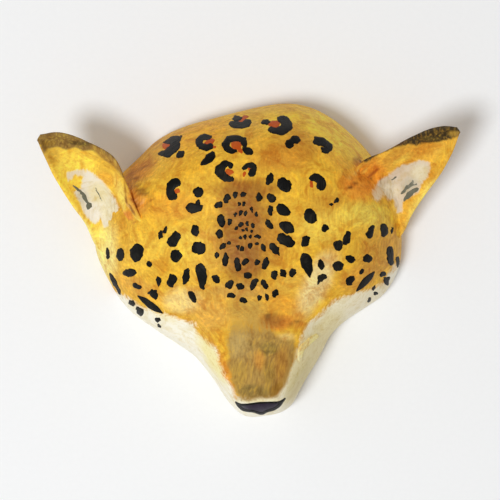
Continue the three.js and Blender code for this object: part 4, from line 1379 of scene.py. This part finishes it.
def build_ear_hatching():
    """The grey hair strokes inside the ears."""
    for side, strokes in EAR_HATCHING.items():
        stencils = [brush_stencil(path, widths) for path, widths in strokes]
        lay_strokes(f"{side}_ear_hatching", stencils,
                    paint_values(f"{side}_ear_leaf", slate_acrylic()), "ear_paint")


def build_crease():
    """The strip pasted along the edge of the bridge; its pale coat is partly a painted highlight on the
    ridge.
    """
    stencil = stencil_object("crease_stencil", [brush_stencil(*CREASE_PATH)])
    values = paint_values("face", painted_paper(), thickness=0.9 * MM, wobble=0.8 * MM)
    crease = run_tree(stencil, lay_paint_tree(), "muzzle_crease", values)
    paint_mesh(crease.data, CREASE_STRIP_AND_HIGHLIGHT_SCHEME, (None, None))
    settle(crease, "strip_paint", "muzzle_crease_strip")


def finish_fittings():
    """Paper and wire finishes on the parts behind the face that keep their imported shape."""
    finishes = {name: kraft_paper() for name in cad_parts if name.startswith("rim_band")}
    finishes["hanging_patch"] = kraft_paper()
    finishes["hanging_loop"] = galvanised_wire()
    for name, material in finishes.items():
        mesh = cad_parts[name].data
        mesh.materials.clear()
        mesh.materials.append(material)


# ---- stage ----

# The window stands to the lower left and high above, in metres and watts.
WINDOW_PLACE = Vector((-0.9, -0.62, 2.81))
WINDOW_AIM = Vector((0, 0, 0.03))
WINDOW_SIZE = 0.8
WINDOW_POWER = 52.8
ROOM_STRENGTH = 0.47
SHEET_HALF = 2.5
SHEET_GAP = 0.1 * MM
# The lens and the film's width, in millimetres.
LENS = 144
FILM_WIDTH = 36


def build_stage():
    """A pale sheet, a big soft light from the lower left, and the camera over the forehead."""
    ways = ((-1, -1), (1, -1), (1, 1), (-1, 1))
    corners = [(x * SHEET_HALF, y * SHEET_HALF, -SHEET_GAP) for x, y in ways]
    floor = new_object("sheet", corners, [(0, 1, 2, 3)])
    floor.data.materials.append(card_sheet())

    lamp = bpy.data.lights.new("window", "AREA")
    lamp.color = linear("#F4FAFF")[:3]
    lamp.shape = "DISK"
    lamp.size = WINDOW_SIZE
    lamp.energy = WINDOW_POWER
    window = placed("window", lamp)
    window.location = WINDOW_PLACE
    window.rotation_mode = "QUATERNION"
    window.rotation_quaternion = (WINDOW_AIM - WINDOW_PLACE).to_track_quat("-Z", "Y")

    world = bpy.data.worlds.new("room")
    world.use_nodes = True
    fill(world.node_tree.nodes["Background"], {"Color": linear("#FFFAF3"), "Strength": ROOM_STRENGTH})
    scene = bpy.context.scene
    scene.world = world
    scene.view_settings.view_transform = "Standard"

    camera = placed("camera", bpy.data.cameras.new("camera"))
    camera.location = EYE
    camera.data.sensor_width = FILM_WIDTH
    camera.data.lens = LENS
    scene.camera = camera


# ---- add-on ----

class LEOPARD_OT_face(bpy.types.Operator):
    """Build the paper shell of the face with its painted coats"""

    bl_idname = "leopard_mask.face"
    bl_label = "Face"

    def execute(self, context):
        build_face()
        return {"FINISHED"}


class LEOPARD_OT_ears(bpy.types.Operator):
    """Build the two cupped ear leaves"""

    bl_idname = "leopard_mask.ears"
    bl_label = "Ears"

    def execute(self, context):
        for side in EARS:
            build_ear(side)
        return {"FINISHED"}


class LEOPARD_OT_folds(bpy.types.Operator):
    """Build the wrinkled strips round the ear roots and the strip on the muzzle"""

    bl_idname = "leopard_mask.folds"
    bl_label = "Pasted strips"

    def execute(self, context):
        for side in EARS:
            for part in ("front", "back"):
                build_fold(side, part)
        build_crease()
        return {"FINISHED"}


class LEOPARD_OT_fittings(bpy.types.Operator):
    """Finish the rim bands, the hanging loop and its patch"""

    bl_idname = "leopard_mask.fittings"
    bl_label = "Rim bands and hanger"

    def execute(self, context):
        finish_fittings()
        return {"FINISHED"}


class LEOPARD_OT_spots(bpy.types.Operator):
    """Paint the black spots"""

    bl_idname = "leopard_mask.spots"
    bl_label = "Spots"

    def execute(self, context):
        build_spots()
        return {"FINISHED"}


class LEOPARD_OT_rosettes(bpy.types.Operator):
    """Paint the rosettes on the crown"""

    bl_idname = "leopard_mask.rosettes"
    bl_label = "Rosettes"

    def execute(self, context):
        build_rosettes()
        return {"FINISHED"}


class LEOPARD_OT_features(bpy.types.Operator):
    """Paint the eyes, the nose and the hair strokes in the ears"""

    bl_idname = "leopard_mask.features"
    bl_label = "Eyes, nose and ear strokes"

    def execute(self, context):
        build_eyes()
        build_nose()
        build_ear_hatching()
        return {"FINISHED"}


class LEOPARD_OT_stage(bpy.types.Operator):
    """Set up the sheet, the lights and the camera"""

    bl_idname = "leopard_mask.stage"
    bl_label = "Stage"

    def execute(self, context):
        build_stage()
        return {"FINISHED"}


OPERATORS = (
    LEOPARD_OT_face, LEOPARD_OT_ears, LEOPARD_OT_folds, LEOPARD_OT_fittings, LEOPARD_OT_spots,
    LEOPARD_OT_rosettes, LEOPARD_OT_features, LEOPARD_OT_stage)


class LEOPARD_PT_panel(bpy.types.Panel):
    """Sizes, colours and one button for each piece"""

    bl_idname = "LEOPARD_PT_panel"
    bl_label = "Leopard Mask"
    bl_space_type = "VIEW_3D"
    bl_region_type = "UI"
    bl_category = "Leopard Mask"

    def draw(self, context):
        scene = context.scene
        for group in (scene.leopard_mask_sizes, scene.leopard_mask_colours):
            box = self.layout.box()
            for name in group.__annotations__:
                box.prop(group, name)
        for operator in OPERATORS:
            self.layout.operator(operator.bl_idname)


CLASSES = (LeopardMaskSizes, LeopardMaskColours, *OPERATORS, LEOPARD_PT_panel)


def register():
    for cls in CLASSES:
        bpy.utils.register_class(cls)
    bpy.types.Scene.leopard_mask_sizes = PointerProperty(type=LeopardMaskSizes)
    bpy.types.Scene.leopard_mask_colours = PointerProperty(type=LeopardMaskColours)


def unregister():
    del bpy.types.Scene.leopard_mask_colours
    del bpy.types.Scene.leopard_mask_sizes
    for cls in reversed(CLASSES):
        bpy.utils.unregister_class(cls)


def main():
    register()
    for operator in OPERATORS:
        getattr(bpy.ops.leopard_mask, operator.bl_idname.split(".")[1])()


if __name__ == "__main__":
    main()
